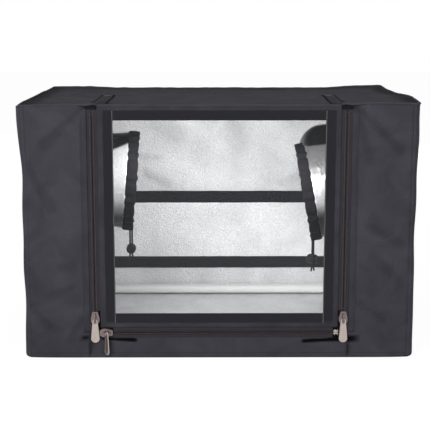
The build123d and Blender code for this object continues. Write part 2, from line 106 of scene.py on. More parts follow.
# Tapes and stitches
FILM_LAP = 5 * MM
STITCH_LENGTH = 2.3 * MM
STITCH_PITCH = 3.2 * MM
STITCH_WIDTH = 0.45 * MM
STITCH_RISE = 0.25 * MM
STITCH_INSET = 1.8 * MM

# Small bars: share of the length and scale of each ring
BAR_SIDES = 6
BAR_RINGS = ((0, 0.45), (0.18, 1), (0.82, 1), (1, 0.45))

# Sleeves and drawcords
SLEEVE_SIDES = 180
SLEEVE_RINGS = 64
SLEEVE_SKIN = 0.7 * MM
CORD_DIAMETER = 3 * MM
CORD_SPACING = 3.6 * MM
CORD_DROP = 46 * MM
CORD_TAIL = 9 * MM
CORD_SPLAY = 2.6 * MM
SLEEVES = {
    "left": {"side": -1, "straight": 30 * MM, "reach": 151.5 * MM, "drop": 3 * MM, "tilt": 5.0, "turn": 0,
             "lobe": None, "shade": (226 * MM, 400 * MM)},
    "right": {"side": 1, "straight": 95 * MM, "reach": 146.4 * MM, "drop": 22 * MM, "tilt": 10.7, "turn": 50,
              "lobe": ((138 * MM, 306 * MM), (44 * MM, 41 * MM)), "shade": (226 * MM, 258 * MM)},
}

# Places read from the frame
half_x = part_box("floor_panel")[1].x
half_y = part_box("floor_panel")[1].y
wall_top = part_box("left_wall")[1].z
height = wall_top + CLOTH
front = -half_y
straight_x = half_x - EDGE_RADIUS
straight_y = half_y - EDGE_RADIUS


def middle_of(node):
    low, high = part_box(node)
    return (low + high) / 2


zip_x = middle_of("slider_right").x
zip_z = middle_of("slider_bottom").z
door_low, door_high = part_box("door_panel")
film_low, film_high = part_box("window_film")
window_x = film_high.x - FILM_LAP
window_low = film_low.z + FILM_LAP
window_high = film_high.z - FILM_LAP
hinge = Vector((0, front + CLOTH / 2, door_high.z - PIPING_RADIUS))
port_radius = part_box("sleeve_left")[1].y - CLOTH
port_z = frame["record"]["mounts"][1]["pos_m"][2]

# Node helpers


def new_material(name, colour, roughness, **sockets):
    """Principled material; further sockets are named with underscores for spaces."""
    material = bpy.data.materials.new(name)
    material.use_nodes = True
    shader = material.node_tree.nodes["Principled BSDF"]
    shader.inputs["Base Color"].default_value = (*colour, 1)
    shader.inputs["Roughness"].default_value = roughness
    for socket, value in sockets.items():
        shader.inputs[socket.replace("_", " ")].default_value = value
    return material


def add_node(material, kind, inputs=None, **settings):
    """A node of this kind with its inputs set to values or linked to sockets."""
    node = material.node_tree.nodes.new(kind)
    for key, value in settings.items():
        setattr(node, key, value)
    for key, value in (inputs or {}).items():
        if isinstance(value, bpy.types.NodeSocket):
            material.node_tree.links.new(value, node.inputs[key])
        else:
            node.inputs[key].default_value = value
    return node


def connect(material, socket, name):
    shader = material.node_tree.nodes["Principled BSDF"]
    material.node_tree.links.new(socket, shader.inputs[name])


def place_of(material):
    return add_node(material, "ShaderNodeTexCoord").outputs["Object"]


def noise(material, scale, detail=3.0, roughness=0.55, distortion=0.0):
    inputs = {"Vector": place_of(material), "Scale": scale, "Detail": detail, "Roughness": roughness,
              "Distortion": distortion}
    return add_node(material, "ShaderNodeTexNoise", inputs).outputs["Fac"]


def spread(material, value, low, high):
    """Map a value from 0 and 1 to low and high."""
    inputs = {"Value": value, "To Min": low, "To Max": high}
    return add_node(material, "ShaderNodeMapRange", inputs).outputs["Result"]


def mixed(material, factor, first, second):
    """A colour between two, each a colour or a socket."""
    node = add_node(material, "ShaderNodeMix", {"Factor": factor}, data_type="RGBA")
    for key, colour in (("A", first), ("B", second)):
        socket = [s for s in node.inputs if s.name == key and s.type == "RGBA"][0]
        if isinstance(colour, bpy.types.NodeSocket):
            material.node_tree.links.new(colour, socket)
        else:
            socket.default_value = (*colour, 1)
    return [s for s in node.outputs if s.type == "RGBA"][0]


def bands(material, axis, period):
    """Sine bands across one axis, with this period in metres."""
    scale = 2 * pi / (20 * period)
    inputs = {"Vector": place_of(material), "Scale": scale, "Distortion": 0.0}
    node = add_node(material, "ShaderNodeTexWave", inputs, bands_direction=axis)
    return node.outputs["Fac"]


def total(material, first, second, operation="ADD"):
    return add_node(material, "ShaderNodeMath", {0: first, 1: second}, operation=operation).outputs[0]


def bump(material, value, strength, distance):
    inputs = {"Height": value, "Strength": strength, "Distance": distance}
    connect(material, add_node(material, "ShaderNodeBump", inputs).outputs["Normal"], "Normal")


def weave(material, period):
    """Height of a plain weave that shows on faces of any direction."""
    rows = [bands(material, axis, period) for axis in "XYZ"]
    return total(material, total(material, rows[0], rows[1]), rows[2])


def tinted(material, colour, scale, change):
    """Colour that drifts a little lighter and darker over the surface."""
    dark = tuple(c * (1 - change) for c in colour)
    light = tuple(c * (1 + change) for c in colour)
    return mixed(material, noise(material, scale), dark, light)


# Materials
# Near black that painted shade darkens the foil towards.
PAINTED_SHADE_BLACK = (0.010, 0.010, 0.011)


def cloth_material(name, colour):
    """Woven coated cloth; painted shade, held in an attribute, darkens it towards near black, and noise mottles it
    lighter and darker as painted shade of soft crumples.
    """
    material = new_material(name, colour, 0.8, Specular_IOR_Level=0.014)
    fold = add_node(material, "ShaderNodeAttribute", attribute_name="fold").outputs["Fac"]
    shaded_colour = tuple(c * 0.06 for c in colour)
    # Painted shade of soft crumples: noise mottles the colour lighter and darker.
    crumple_shade = spread(material, noise(material, 17, 5, 0.6, 1.4), -0.5, 1.5)
    mottled = mixed(material, crumple_shade, tuple(0.8 * c for c in colour), tuple(1.22 * c for c in colour))
    connect(material, mixed(material, fold, mottled, shaded_colour), "Base Color")
    connect(material, spread(material, noise(material, 40), 0.7, 0.86), "Roughness")
    bump(material, weave(material, 0.8 * MM), 0.35, 0.12 * MM)
    return material


def foil_material(name, colour, roughness, metallic, cell, depth):
    """Foil-faced lining, hammered in cells of this size."""
    material = new_material(name, colour, roughness, Metallic=metallic)
    inputs = {"Vector": place_of(material), "Scale": 1 / cell, "Smoothness": 0.6}
    cells = add_node(material, "ShaderNodeTexVoronoi", inputs, feature="SMOOTH_F1").outputs["Distance"]
    dents = total(material, noise(material, 55, 4, 0.65, 0.8), 1.4, "MULTIPLY")
    grain = total(material, total(material, cells, noise(material, 2 / cell)), dents)
    fold = add_node(material, "ShaderNodeAttribute", attribute_name="fold").outputs["Fac"]
    speckle = total(material, noise(material, 560, 2, 0.8), 3.0, "MULTIPLY")
    blotches = total(material, noise(material, 15, 4, 0.55, 0.7), total(material, speckle, -1.0))
    blotches = spread(material, total(material, blotches, 0.5, "MULTIPLY"), -0.5, 1.5)
    mottled = mixed(material, blotches, tuple(0.76 * c for c in colour), tuple(1.14 * c for c in colour))
    # Painted shade from the attribute darkens the mottled foil towards near black.
    connect(material, mixed(material, fold, mottled, PAINTED_SHADE_BLACK), "Base Color")
    connect(material, spread(material, noise(material, 25), roughness - 0.06, roughness + 0.08), "Roughness")
    bump(material, grain, 0.8, depth)
    return material


def pile_material(name, colour):
    """Black loop-pile tape."""
    material = new_material(name, colour, 0.95, Specular_IOR_Level=0.1, Sheen_Weight=0.12,
                            Sheen_Roughness=0.6)
    connect(material, tinted(material, colour, 900, 0.35), "Base Color")
    bump(material, noise(material, 1300, 4, 0.7), 0.9, 0.5 * MM)
    return material


def webbing_material(name, colour):
    material = new_material(name, colour, 0.75, Specular_IOR_Level=0.08)
    connect(material, tinted(material, colour, 60, 0.2), "Base Color")
    ribs = total(material, weave(material, 1.3 * MM), noise(material, 700))
    bump(material, ribs, 0.5, 0.25 * MM)
    return material


def plastic_material(name, colour, roughness):
    material = new_material(name, colour, roughness, Specular_IOR_Level=0.25)
    connect(material, tinted(material, colour, 120, 0.15), "Base Color")
    connect(material, spread(material, noise(material, 300), roughness - 0.07, roughness + 0.1), "Roughness")
    bump(material, noise(material, 1500), 0.12, 0.1 * MM)
    return material


def metal_material(name, colour, roughness):
    """Plated metal with fine scuffs."""
    material = new_material(name, colour, roughness, Metallic=1.0)
    connect(material, tinted(material, colour, 180, 0.12), "Base Color")
    scuffs = noise(material, 900, 5, 0.7)
    connect(material, spread(material, scuffs, roughness - 0.08, roughness + 0.18), "Roughness")
    bump(material, scuffs, 0.15, 0.08 * MM)
    return material


def thread_material(name, colour):
    material = new_material(name, colour, 0.8, Specular_IOR_Level=0.2)
    connect(material, tinted(material, colour, 400, 0.3), "Base Color")
    bump(material, bands(material, "DIAGONAL", 0.5 * MM), 0.4, 0.1 * MM)
    return material


def braid_material(name, colour):
    """Braided cord: crossing diagonal bands."""
    material = new_material(name, colour, 0.8, Specular_IOR_Level=0.2, Sheen_Weight=0.1)
    connect(material, tinted(material, colour, 500, 0.3), "Base Color")
    braid = total(material, bands(material, "DIAGONAL", 1.4 * MM), bands(material, "Z", 1.0 * MM))
    bump(material, braid, 0.7, 0.3 * MM)
    return material


def film_material(name):
    """Clear soft film with faint waves; it grows more opaque at grazing angles, so its grey colour shows there as a
    painted reflection.
    """
    material = new_material(name, (0.55, 0.57, 0.58), 0.08, Specular_IOR_Level=0.5)
    turned = add_node(material, "ShaderNodeLayerWeight", {"Blend": 0.3}).outputs["Facing"]
    connect(material, spread(material, turned, 0.012, 0.3), "Alpha")
    bump(material, noise(material, 18, 2), 0.15, 1.5 * MM)
    return material


def paint_material(name, colour):
    material = new_material(name, colour, 0.42)
    connect(material, tinted(material, colour, 30, 0.04), "Base Color")
    bump(material, noise(material, 500), 0.15, 0.1 * MM)
    return material


oxford = cloth_material("charcoal_cloth", (0.0500, 0.0481, 0.0580))
black_cloth_and_roof_shade = cloth_material("black_cloth", (0.014, 0.013, 0.015))
foil = foil_material("hammered_foil", (0.87, 0.875, 0.885), 0.48, 0.4, 2.8 * MM, 1.2 * MM)
sleeve_foil = foil_material("smooth_foil", (0.88, 0.885, 0.895), 0.31, 0.55, 22 * MM, 1.0 * MM)
facing = cloth_material("facing_cloth", (0.0385, 0.0368, 0.0455))
pile = pile_material("loop_tape", (0.0128, 0.0124, 0.0164))
webbing = webbing_material("black_webbing", (0.0200, 0.0193, 0.0248))
# Near-black cloth for the painted shadows along the straps' edges.
edge_cloth = cloth_material("edge_cloth", (0.005, 0.0048, 0.0055))
strap_webbing = cloth_material("strap_webbing", (0.034, 0.0325, 0.0395))
zip_cloth = webbing_material("zip_cloth", (0.031, 0.0285, 0.0335))
coil_plastic = plastic_material("coil_plastic", (0.030, 0.0262, 0.0285), 0.5)
black_plastic = plastic_material("black_plastic", (0.011, 0.011, 0.012), 0.5)
nickel = metal_material("rose_nickel", (0.45, 0.385, 0.355), 0.26)
dark_nickel = metal_material("dark_nickel", (0.19, 0.155, 0.152), 0.3)
bright_wire = metal_material("bright_wire", (0.6, 0.6, 0.61), 0.3)
red_thread = thread_material("brown_thread", (0.100, 0.074, 0.077))
grey_thread = thread_material("grey_thread", (0.20, 0.195, 0.20))
black_thread = thread_material("black_thread", (0.02, 0.019, 0.021))
cord_braid = braid_material("cord_braid", (0.014, 0.014, 0.015))
clear_film = film_material("clear_film")
white_paint = paint_material("white_powder_coat", (0.74, 0.74, 0.73))
hem_webbing = webbing_material("hem_webbing", (0.0095, 0.0092, 0.0118))
net_material = webbing_material("net_strands", (0.018, 0.018, 0.019))

# Mesh helpers


def build(name, points, faces, materials, body, slot, nodes=(), smooth=True):
    """A mesh piece that rides on a body and stands for CAD nodes."""
    mesh = bpy.data.meshes.new(name)
    mesh.from_pydata([tuple(p) for p in points], [], [tuple(int(i) for i in f) for f in faces])
    for material in materials:
        mesh.materials.append(material)
    mesh.polygons.foreach_set("use_smooth", [smooth] * len(mesh.polygons))
    mesh.update()
    obj = bpy.data.objects.new(name, mesh)
    bpy.context.scene.collection.objects.link(obj)
    if nodes:
        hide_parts(*nodes)
    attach(obj, body)
    return obj


def settle(obj):
    """Put the result of an object's modifiers into its mesh."""
    graph = bpy.context.evaluated_depsgraph_get()
    mesh = bpy.data.meshes.new_from_object(obj.evaluated_get(graph))
    obj.modifiers.clear()
    obj.data = mesh


def thicken(obj, amount, inside=1):
    """Give a sheet its thickness inwards, with the inner side's own material."""
    solid = obj.modifiers.new("thickness", "SOLIDIFY")
    solid.thickness = amount
    solid.offset = -1
    solid.material_offset = inside
    settle(obj)


def set_shade_and_tone(obj, values):
    """Store how much painted shade, and darker tone, each point gets."""
    attribute = obj.data.attributes.new("fold", "FLOAT", "POINT")
    attribute.data.foreach_set("value", np.clip(values, 0, 1).astype(np.float32))


def steps(start, end, size):
    """Even values from start to end, about this far apart."""
    return np.linspace(start, end, max(2, int(round(abs(end - start) / size)) + 1))


def joined(*runs):
    """Several runs of values as one, each value once."""
    return np.unique(np.round(np.concatenate(runs), 7))


def spans(marks, *sizes):
    """Values through the marks, each span between two of them with its own step."""
    return joined(*(steps(low, high, size) for low, high, size in zip(marks, marks[1:], sizes)))


def lattice(us, vs, keep=None, hole=None):
    """Surface places and quads of a sheet over us and vs, with cells left out or a round hole."""
    seen, places, faces = {}, [], []

    def at(u, v):
        key = (round(float(u), 7), round(float(v), 7))
        if key not in seen:
            seen[key] = len(places)
            places.append(key)
        return seen[key]

    for u0, u1 in zip(us, us[1:]):
        for v0, v1 in zip(vs, vs[1:]):
            u, v = (u0 + u1) / 2, (v0 + v1) / 2
            if keep is not None and not keep(u, v):
                continue
            if hole and max(abs(u - hole["u"]), abs(v - hole["v"])) < hole["half"]:
                continue
            faces.append((at(u0, v0), at(u1, v0), at(u1, v1), at(u0, v1)))
    if hole:
        near_u = [u for u in us if abs(u - hole["u"]) < hole["half"] + GRID / 10]
        near_v = [v for v in vs if abs(v - hole["v"]) < hole["half"] + GRID / 10]
        rim = [(u, near_v[0]) for u in near_u] + [(near_u[-1], v) for v in near_v[1:]]
        rim += [(u, near_v[-1]) for u in near_u[-2::-1]] + [(near_u[0], v) for v in near_v[-2:0:-1]]
        rim = np.array(rim)
        offset = rim - (hole["u"], hole["v"])
        circle = (hole["u"], hole["v"]) + offset / np.linalg.norm(offset, axis=1)[:, None] * hole["radius"]
        for k in range(hole["rings"]):
            outer = rim + (circle - rim) * (k / hole["rings"])
            inner = rim + (circle - rim) * ((k + 1) / hole["rings"])
            for i in range(len(rim)):
                j = (i + 1) % len(rim)
                faces.append((at(*outer[i]), at(*outer[j]), at(*inner[j]), at(*inner[i])))
    return np.array(places), faces


def flipped(faces):
    return [tuple(reversed(face)) for face in faces]


def skin(rows, count, closed=False, caps=True):
    """Faces over rows of points, each row a ring of count; open ends are capped."""
    faces = []
    for i in range(rows if closed else rows - 1):
        for k in range(count):
            m, n = (k + 1) % count, (i + 1) % rows
            faces.append((i * count + k, i * count + m, n * count + m, n * count + k))
    if caps and not closed:
        faces += [tuple(reversed(range(count))), tuple(range((rows - 1) * count, rows * count))]
    return faces


def tube(points, radius, sides):
    """Points and faces of a round tube along a level line, with its ends capped."""
    along = np.gradient(points, axis=0)
    along /= np.linalg.norm(along, axis=1)[:, None]
    side = np.cross(along, (0, 0, 1.0))
    side /= np.linalg.norm(side, axis=1)[:, None]
    up = np.cross(side, along)
    angles = np.arange(sides) * 2 * pi / sides
    turns = np.cos(angles)[None, :, None] * side[:, None] + np.sin(angles)[None, :, None] * up[:, None]
    return (points[:, None] + radius * turns).reshape(-1, 3), flipped(skin(len(points), sides))


def merged(parts):
    """Several lists of points and faces as one."""
    points, faces, start = [], [], 0
    for part_points, part_faces in parts:
        points.append(part_points)
        faces += [tuple(i + start for i in face) for face in part_faces]
        start += len(part_points)
    return np.concatenate(points), faces


def bar(start, end, across, up, width, rise):
    """A small rounded bar from start to end, lying on its underside."""
    along = np.asarray(end) - np.asarray(start)
    points = []
    for share, scale in BAR_RINGS:
        for k in range(BAR_SIDES):
            angle = 2 * pi * k / BAR_SIDES
            offset = across * (cos(angle) * width / 2 * scale)
            offset = offset + up * (rise / 2 + sin(angle) * rise / 2 * scale)
            points.append(start + along * share + offset)
    faces = skin(len(BAR_RINGS), BAR_SIDES)
    return np.array(points), faces if np.cross(across, up) @ along > 0 else flipped(faces)


def stitch_row(start, end, outward, lift=None, width=STITCH_WIDTH):
    """Stitches in a straight row on a surface; lift gives the surface's own movement."""
    start, end, outward = (np.asarray(v, float) for v in (start, end, outward))
    length = np.linalg.norm(end - start)
    along = (end - start) / length
    across = np.cross(along, outward)
    parts = []
    for i in range(int(length / STITCH_PITCH)):
        low = start + along * (i * STITCH_PITCH)
        high = low + along * STITCH_LENGTH
        if lift is not None:
            low = low + outward * lift(low)
            high = high + outward * lift(high)
        parts.append(bar(low, high, across, outward, width, STITCH_RISE))
    return parts


# Shape of the cloth


def ripple(p, q, seed, lengths, count=5):
    """Smooth waves over two surface directions, about 1 high."""
    waves = np.random.default_rng(seed)
    value = np.zeros_like(p)
    for length in lengths:
        for _ in range(count):
            angle, phase = waves.uniform(0, pi), waves.uniform(0, 2 * pi)
            stretch = waves.uniform(0.7, 1.5)
            value += np.sin(2 * pi * (p * cos(angle) + q * sin(angle)) / (length * stretch) + phase)
    return value / (count * len(lengths)) ** 0.5 / 1.5


def near_line(points, start, end):
    """Distance of points from a straight crease, and how far along it they lie."""
    start, end = np.asarray(start, float), np.asarray(end, float)
    along = end - start
    share = np.clip((points - start) @ along / (along @ along), 0, 1)
    return np.linalg.norm(points - (start + share[:, None] * along), axis=1), share


def smooth(value):
    value = np.clip(value, 0, 1)
    return value * value * (3 - 2 * value)


# Creases in the cover: start, end, half width (or one at each end) and rise in millimetres, then the darkness of the
# painted shade along them.
FRONT_CREASES = [
    ((-288, 82), (-262, 50), (4, 8), -1.8, 0.34),
    ((-262, 50), (-240, 44), (8, 5), -1.4, 0.26),
    ((-206, 386), (-262, 330), (4, 9), -1.5, 0.24),
    ((-210, 64), (-228, 30), (5, 8), -1.4, 0.32),
    ((-280, 215), (-232, 120), 14, 1.4, 0.0),
    ((-286, 300), (-255, 235), (6, 10), -1.4, 0.26),
    ((-225, 112), (-262, 96), (5, 8), -1.2, 0.28),
    ((206, 387), (272, 323), (4, 8), -1.8, 0.3),
    ((204, 384), (226, 310), (4, 8), -1.2, 0.26),
    ((285, 110), (236, 160), (6, 10), -1.3, 0.26),
    ((222, 120), (262, 70), 11, 1.4, 0.0),
    ((276, 230), (250, 300), 12, 1.3, 0.0),
    ((225, 208), (276, 180), (6, 9), -1.3, 0.26),
    ((208, 92), (250, 60), (5, 8), -1.4, 0.32),
    ((288, 60), (262, 34), (5, 8), -1.3, 0.28),
    # Slits at the sill: deep painted shade, nearly black, in the gaps.
    ((-180, 31.5), (-130, 29.0), (1.6, 3.4), -0.4, 1.0),
    ((-203, 32), (-214, 30.5), (3.6, 2.0), -0.4, 0.95),
    ((130, 27.2), (168, 29.2), (3.0, 3.0), -0.4, 1.0),
    ((168, 29.2), (194, 31.0), (3.0, 5.0), -0.4, 1.0),
    ((194, 31.0), (214, 30.6), (5.4, 2.6), -0.4, 1.0),
    ((200, 20), (199, 9), 3.6, -0.5, 0.6),
    ((-197, 25), (-198, 10), 3.6, -0.5, 0.6),
]
ROOF_CREASES = [
    ((-196, -197), (-150, -120), 7, -1.3, 0.1),
    ((-190, -196), (-172, -60), 5, 0.9, 0.0),
    ((-205, -196), (-262, -150), 8, -1.0, 0.0),
    ((196, -197), (150, -110), 7, -1.4, 0.1),
    ((188, -196), (165, 30), 5, 1.0, 0.0),
    ((206, -196), (268, -140), 8, -1.0, 0.0),
    ((-285, -150), (-230, 120), 16, 1.0, 0.0),
    ((285, -120), (240, 150), 16, 1.0, 0.0),
    ((-60, 120), (120, 165), 14, -1.0, 0.0),
]
BACK_CREASES = [
    ((-120, 352), (-20, 300), 10, -1.6, 0.0),
    ((-30, 345), (60, 312), 8, 1.2, 0.0),
    ((20, 300), (130, 240), 12, -1.4, 0.0),
    ((0, 337), (40, 292), 24, -1.0, 0.13),
    ((-110, 325), (-75, 305), 18, -1.0, 0.12),
    ((-152, 264), (-105, 262), 6, -1.2, 0.14),
    ((-130, 232), (-92, 213), 8, -1.4, 0.15),
    ((122, 213), (158, 227), 8, -1.3, 0.15),
    ((90, 290), (150, 225), 8, 1.2, 0.0),
    ((110, 224), (175, 206), 6, -1.2, 0.0),
    ((-60, 165), (-30, 80), 12, 1.2, 0.0),
    ((40, 160), (70, 90), 10, -1.1, 0.0),
    ((-240, 330), (-180, 200), 14, 1.4, 0.0),
    ((240, 340), (190, 230), 14, 1.4, 0.0),
]


def crease_sum(points, creases, place):
    """Rise, and darkness of painted shade, that a list of creases gives to points."""
    rise = np.zeros(len(points))
    dark = np.zeros(len(points))
    for start, end, width, depth, shade in creases:
        gap, share = near_line(points, place(start), place(end))
        first, last = np.broadcast_to(width, 2) * MM
        width = first + (last - first) * share
        rise += depth * MM * np.exp(-(gap / width) ** 2)
        dark = np.maximum(dark, shade * np.clip(1.8 * np.exp(-(gap / (0.9 * width)) ** 2), 0, 1))
    return rise, dark


def front_place(pair):
    return (pair[0] * MM, front, pair[1] * MM)


def back_place(pair):
    return (pair[0] * MM, half_y, pair[1] * MM)


def roof_place(pair):
    return (pair[0] * MM, pair[1] * MM, height)


def relief(points):
    """How far the walls' cloth stands out from the plain box, and how much painted shade it gets."""
    x, y, z = points.T
    tall = np.sin(pi * np.clip(z / height, 0, 1))
    calm = smooth(np.minimum(z, wall_top - z) / (40 * MM))
    from_edge = np.exp(-(half_x - np.abs(x)) / EDGE_REACH) * np.exp(-(half_y - np.abs(y)) / EDGE_REACH)
    out = -EDGE_PINCH * tall * from_edge
    flared = (x < 0) & (y < 0)
    out += FLARE * from_edge * np.where(flared, smooth((z - 0.72 * height) / (0.24 * height)), 0)
    side = smooth((np.abs(x) - straight_x) / EDGE_RADIUS)
    across = 1 - np.clip(np.abs(y) / half_y, 0, 1) ** 2
    out -= SIDE_BOW * side * across * tall
    at_front = smooth((-y - straight_y) / EDGE_RADIUS)
    at_back = smooth((y - straight_y) / EDGE_RADIUS)
    waves = ripple(x + 0.7 * y, z, 5, (0.16, 0.09))
    out += WRINKLE * waves * calm * (0.6 + 0.6 * side + 0.9 * at_back)
    front_rise, dark = crease_sum(points, FRONT_CREASES, front_place)
    back_rise, back_dark = crease_sum(points, BACK_CREASES, back_place)
    out += at_front * front_rise + at_back * back_rise
    hidden = smooth(1.2 - np.abs(np.abs(x) - zip_x) / (22 * MM))
    hidden = hidden * smooth((z - (wall_top - 14 * MM)) / (12 * MM))
    out -= at_front * hidden * 2.2 * MM
    seam = at_front * np.exp(-((half_x - np.abs(x) - 4.6 * MM) / (1.1 * MM)) ** 2)
    out -= 0.5 * MM * seam
    # Painted shade: darker towards the bottom and in random blotches, in creases and slits, along the front seams,
    # and in the hollows under the roof beside the zip tops.
    blotch = ripple(x + 0.4 * y, z, 17, (0.14, 0.07), 6)
    patch = 0.19 - 0.12 * z / height + 0.08 * blotch + at_back * back_dark
    return out, np.maximum.reduce([patch, at_front * dark, 0.4 * seam, 0.8 * at_front * hidden])


def roof_rise(points):
    """How far the roof's cloth stands above its plain level, and how much painted shade it gets."""
    x, y, _ = points.T
    edge = np.minimum(half_x - np.abs(x), half_y - np.abs(y))
    calm = smooth(edge / (45 * MM))
    out = 0.9 * MM * ripple(x, y, 8, (0.22, 0.12)) * (0.25 + 0.75 * calm) - 1.2 * MM * calm
    inner = smooth((half_x - 60 * MM - np.abs(x)) / (60 * MM))
    out -= 2.0 * MM * smooth((y - 0.6 * half_y) / (0.4 * half_y)) * inner
    rise, dark = crease_sum(points, ROOF_CREASES, roof_place)
    # Painted shade along the sides and back, where the cloth rolls down over the rails, and in blotches that grow
    # darker towards the back.
    dark = np.maximum(dark, 0.72 * smooth(1.3 - (half_x - np.abs(x)) / (30 * MM)))
    dark = np.maximum(dark, 0.58 * smooth(1.2 - (half_y - y) / (46 * MM)))
    patch = 0.05 + 0.06 * ripple(x, y, 18, (0.14, 0.06), 6)
    dark = np.maximum(dark, patch + 0.1 * smooth((y + 0.3 * half_y) / half_y))
    return out + rise + edge_lift(x, y), dark


def foot_at(x, y):
    """Radius of the bend at the walls' foot, larger at the corners."""
    gap = half_x - np.abs(x) + half_y - np.abs(y)
    return FOOT_RADIUS + CORNER_FOOT * np.exp(-gap / (18 * MM))


def edge_lift(x, y):
    """How far the roof and its edges stand up where the cloth is puffed."""
    right = smooth((x - 0.66 * half_x) / (0.3 * half_x)) * np.exp(-(((y + 0.5 * half_y) / (0.5 * half_y)) ** 2))
    corner = np.exp(-((x - half_x) ** 2 + (y - half_y) ** 2) / (50 * MM) ** 2)
    lip = np.exp(-(((x - 0.82 * half_x) / (0.17 * half_x)) ** 2)) * np.exp(-((y + half_y) / (80 * MM)) ** 2)
    dip = np.exp(-((np.abs(x) - half_x) ** 2 + (y + half_y) ** 2) / (26 * MM) ** 2)
    tops = np.exp(-(((np.abs(x) - zip_x) / (40 * MM)) ** 2)) * np.exp(-((y + half_y) / (60 * MM)) ** 2)
    tops *= smooth((np.abs(x) - door_high.x + 3 * MM) / (8 * MM))
    return 5.0 * MM * right + 2.5 * MM * corner + 2.0 * MM * lip + 2.2 * MM * tops - 1.0 * MM * dip


def wall_lift(spot):
    return relief(np.array([spot]))[0][0]


def hem_lift(spot):
    return wall_lift(spot) + HEM_RISE


def roof_lift(spot):
    return roof_rise(np.array([spot]))[0][0]


def curled(base, outward, v):
    """Stand a wall on its bent foot: v is the height above the bend, or below it round the bend."""
    angle = np.clip(-v / FOOT_RADIUS, 0, pi / 2)
    radius = foot_at(base[:, 0], base[:, 1])
    points = base - outward * (radius * (1 - np.cos(angle)))[:, None]
    level = FOOT_RADIUS + v + (radius - FOOT_RADIUS) * smooth(1 - v / (60 * MM))
    rise, _ = roof_rise(base)
    level = level + rise * smooth((level - wall_top) / (70 * MM) + 1)
    points[:, 2] = np.where(v > 0, level, radius * (1 - np.sin(angle)))
    normals = outward * np.cos(angle)[:, None]
    normals[:, 2] = -np.sin(angle)
    return points, normals


def flat_wall(y):
    """Placing function of the front or back wall."""

    def place(u, v):
        base = np.stack([u, np.full_like(u, y), np.zeros_like(u)], 1)
        outward = np.tile((0.0, np.sign(y), 0.0), (len(u), 1))
        return curled(base, outward, v)

    return place


def side_wall(sx):
    """Placing function of a side wall with its two rounded edges; u runs from front to back."""

    def place(u, v):
        angle = np.clip((np.abs(u) - straight_y) / EDGE_RADIUS, 0, pi / 2)
        along = np.clip(np.abs(u), 0, straight_y) + EDGE_RADIUS * np.sin(angle)
        x = sx * (straight_x + EDGE_RADIUS * np.cos(angle))
        base = np.stack([x, np.sign(u) * along, np.zeros_like(u)], 1)
        outward = np.stack([sx * np.cos(angle), np.sign(u) * np.sin(angle), np.zeros_like(u)], 1)
        return curled(base, outward, v)

    return place


def cover_sheet(name, uv, faces, place, node):
    """One cloth panel of the cover, wrinkled and two-sided."""
    points, normals = place(uv[:, 0], uv[:, 1])
    out, dark = relief(points)
    obj = build(name, points + normals * out[:, None], faces, [oxford, foil], "tent", "tent_cloth", [node])
    set_shade_and_tone(obj, dark)
    thicken(obj, SKIN)


foot = steps(-FOOT_RADIUS * pi / 2, 0, 1.3 * MM)
wall_end = height - 0.3 * MM - FOOT_RADIUS
wall_levels = joined(foot, steps(0, wall_end, GRID))

# Cover panels


def make_side_wall(side, sx):
    bend = straight_y + EDGE_RADIUS * pi / 2
    turn = steps(straight_y, bend, 1.6 * MM)
    us = joined(-turn, steps(-straight_y, straight_y, GRID), turn)
    half = 100 * MM
    port_v = port_z - FOOT_RADIUS
    vs = joined(foot, spans((0, port_v - half, port_v + half, wall_end), GRID, GRID, GRID))
    hole = {"u": 0.0, "v": port_v, "half": half, "radius": port_radius, "rings": 8}
    uv, faces = lattice(us, vs, hole=hole)
    faces = faces if sx > 0 else flipped(faces)
    cover_sheet(f"{side}_wall_cloth", uv, faces, side_wall(sx), f"{side}_wall")


def make_front_panel(side, sx):
    edge = zip_x + ZIP_EDGE
    us = sx * steps(edge, straight_x, GRID)
    uv, faces = lattice(np.sort(us), wall_levels)
    cover_sheet(f"front_{side}_cloth", uv, faces, flat_wall(front), f"front_{side}_panel")


def make_sill():
    low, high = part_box("front_sill")
    ear = abs(low.x) - 13.5 * MM
    step = zip_z - ZIP_EDGE
    us = spans((low.x, -ear, ear, high.x), GRID, FINE_STEP, GRID)
    vs = joined(foot, spans((0, step - FOOT_RADIUS, high.z - FOOT_RADIUS), 1.5 * MM, GRID))
    uv, faces = lattice(us, vs, keep=lambda u, v: v < step - FOOT_RADIUS or abs(u) > ear)
    cover_sheet("front_sill_cloth", uv, faces, flat_wall(front), "front_sill")


def make_back_wall():
    net_low, net_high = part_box("vent_net")
    us = spans((-straight_x, net_low.x, net_high.x, straight_x), GRID, GRID, GRID)
    levels = (0, net_low.z - FOOT_RADIUS, net_high.z - FOOT_RADIUS, wall_end)
    vs = joined(foot, spans(levels, GRID, GRID, GRID))

    def keep(u, v):
        return abs(u) > net_high.x or not net_low.z < v + FOOT_RADIUS < net_high.z

    uv, faces = lattice(us, vs, keep=keep)
    cover_sheet("back_wall_cloth", uv, flipped(faces), flat_wall(half_y), "back_wall")


def rounded(x, y, inset):
    """Pull the corners of a rectangle's grid in to the cover's rounded outline."""
    corner = EDGE_RADIUS - inset
    a = np.clip((np.abs(x) - straight_x) / corner, 0, 1)
    b = np.clip((np.abs(y) - straight_y) / corner, 0, 1)
    rounded_x = np.where(a > 0, np.sign(x) * (straight_x + corner * a * np.sqrt(1 - b * b / 2)), x)
    rounded_y = np.where(b > 0, np.sign(y) * (straight_y + corner * b * np.sqrt(1 - a * a / 2)), y)
    return rounded_x, rounded_y


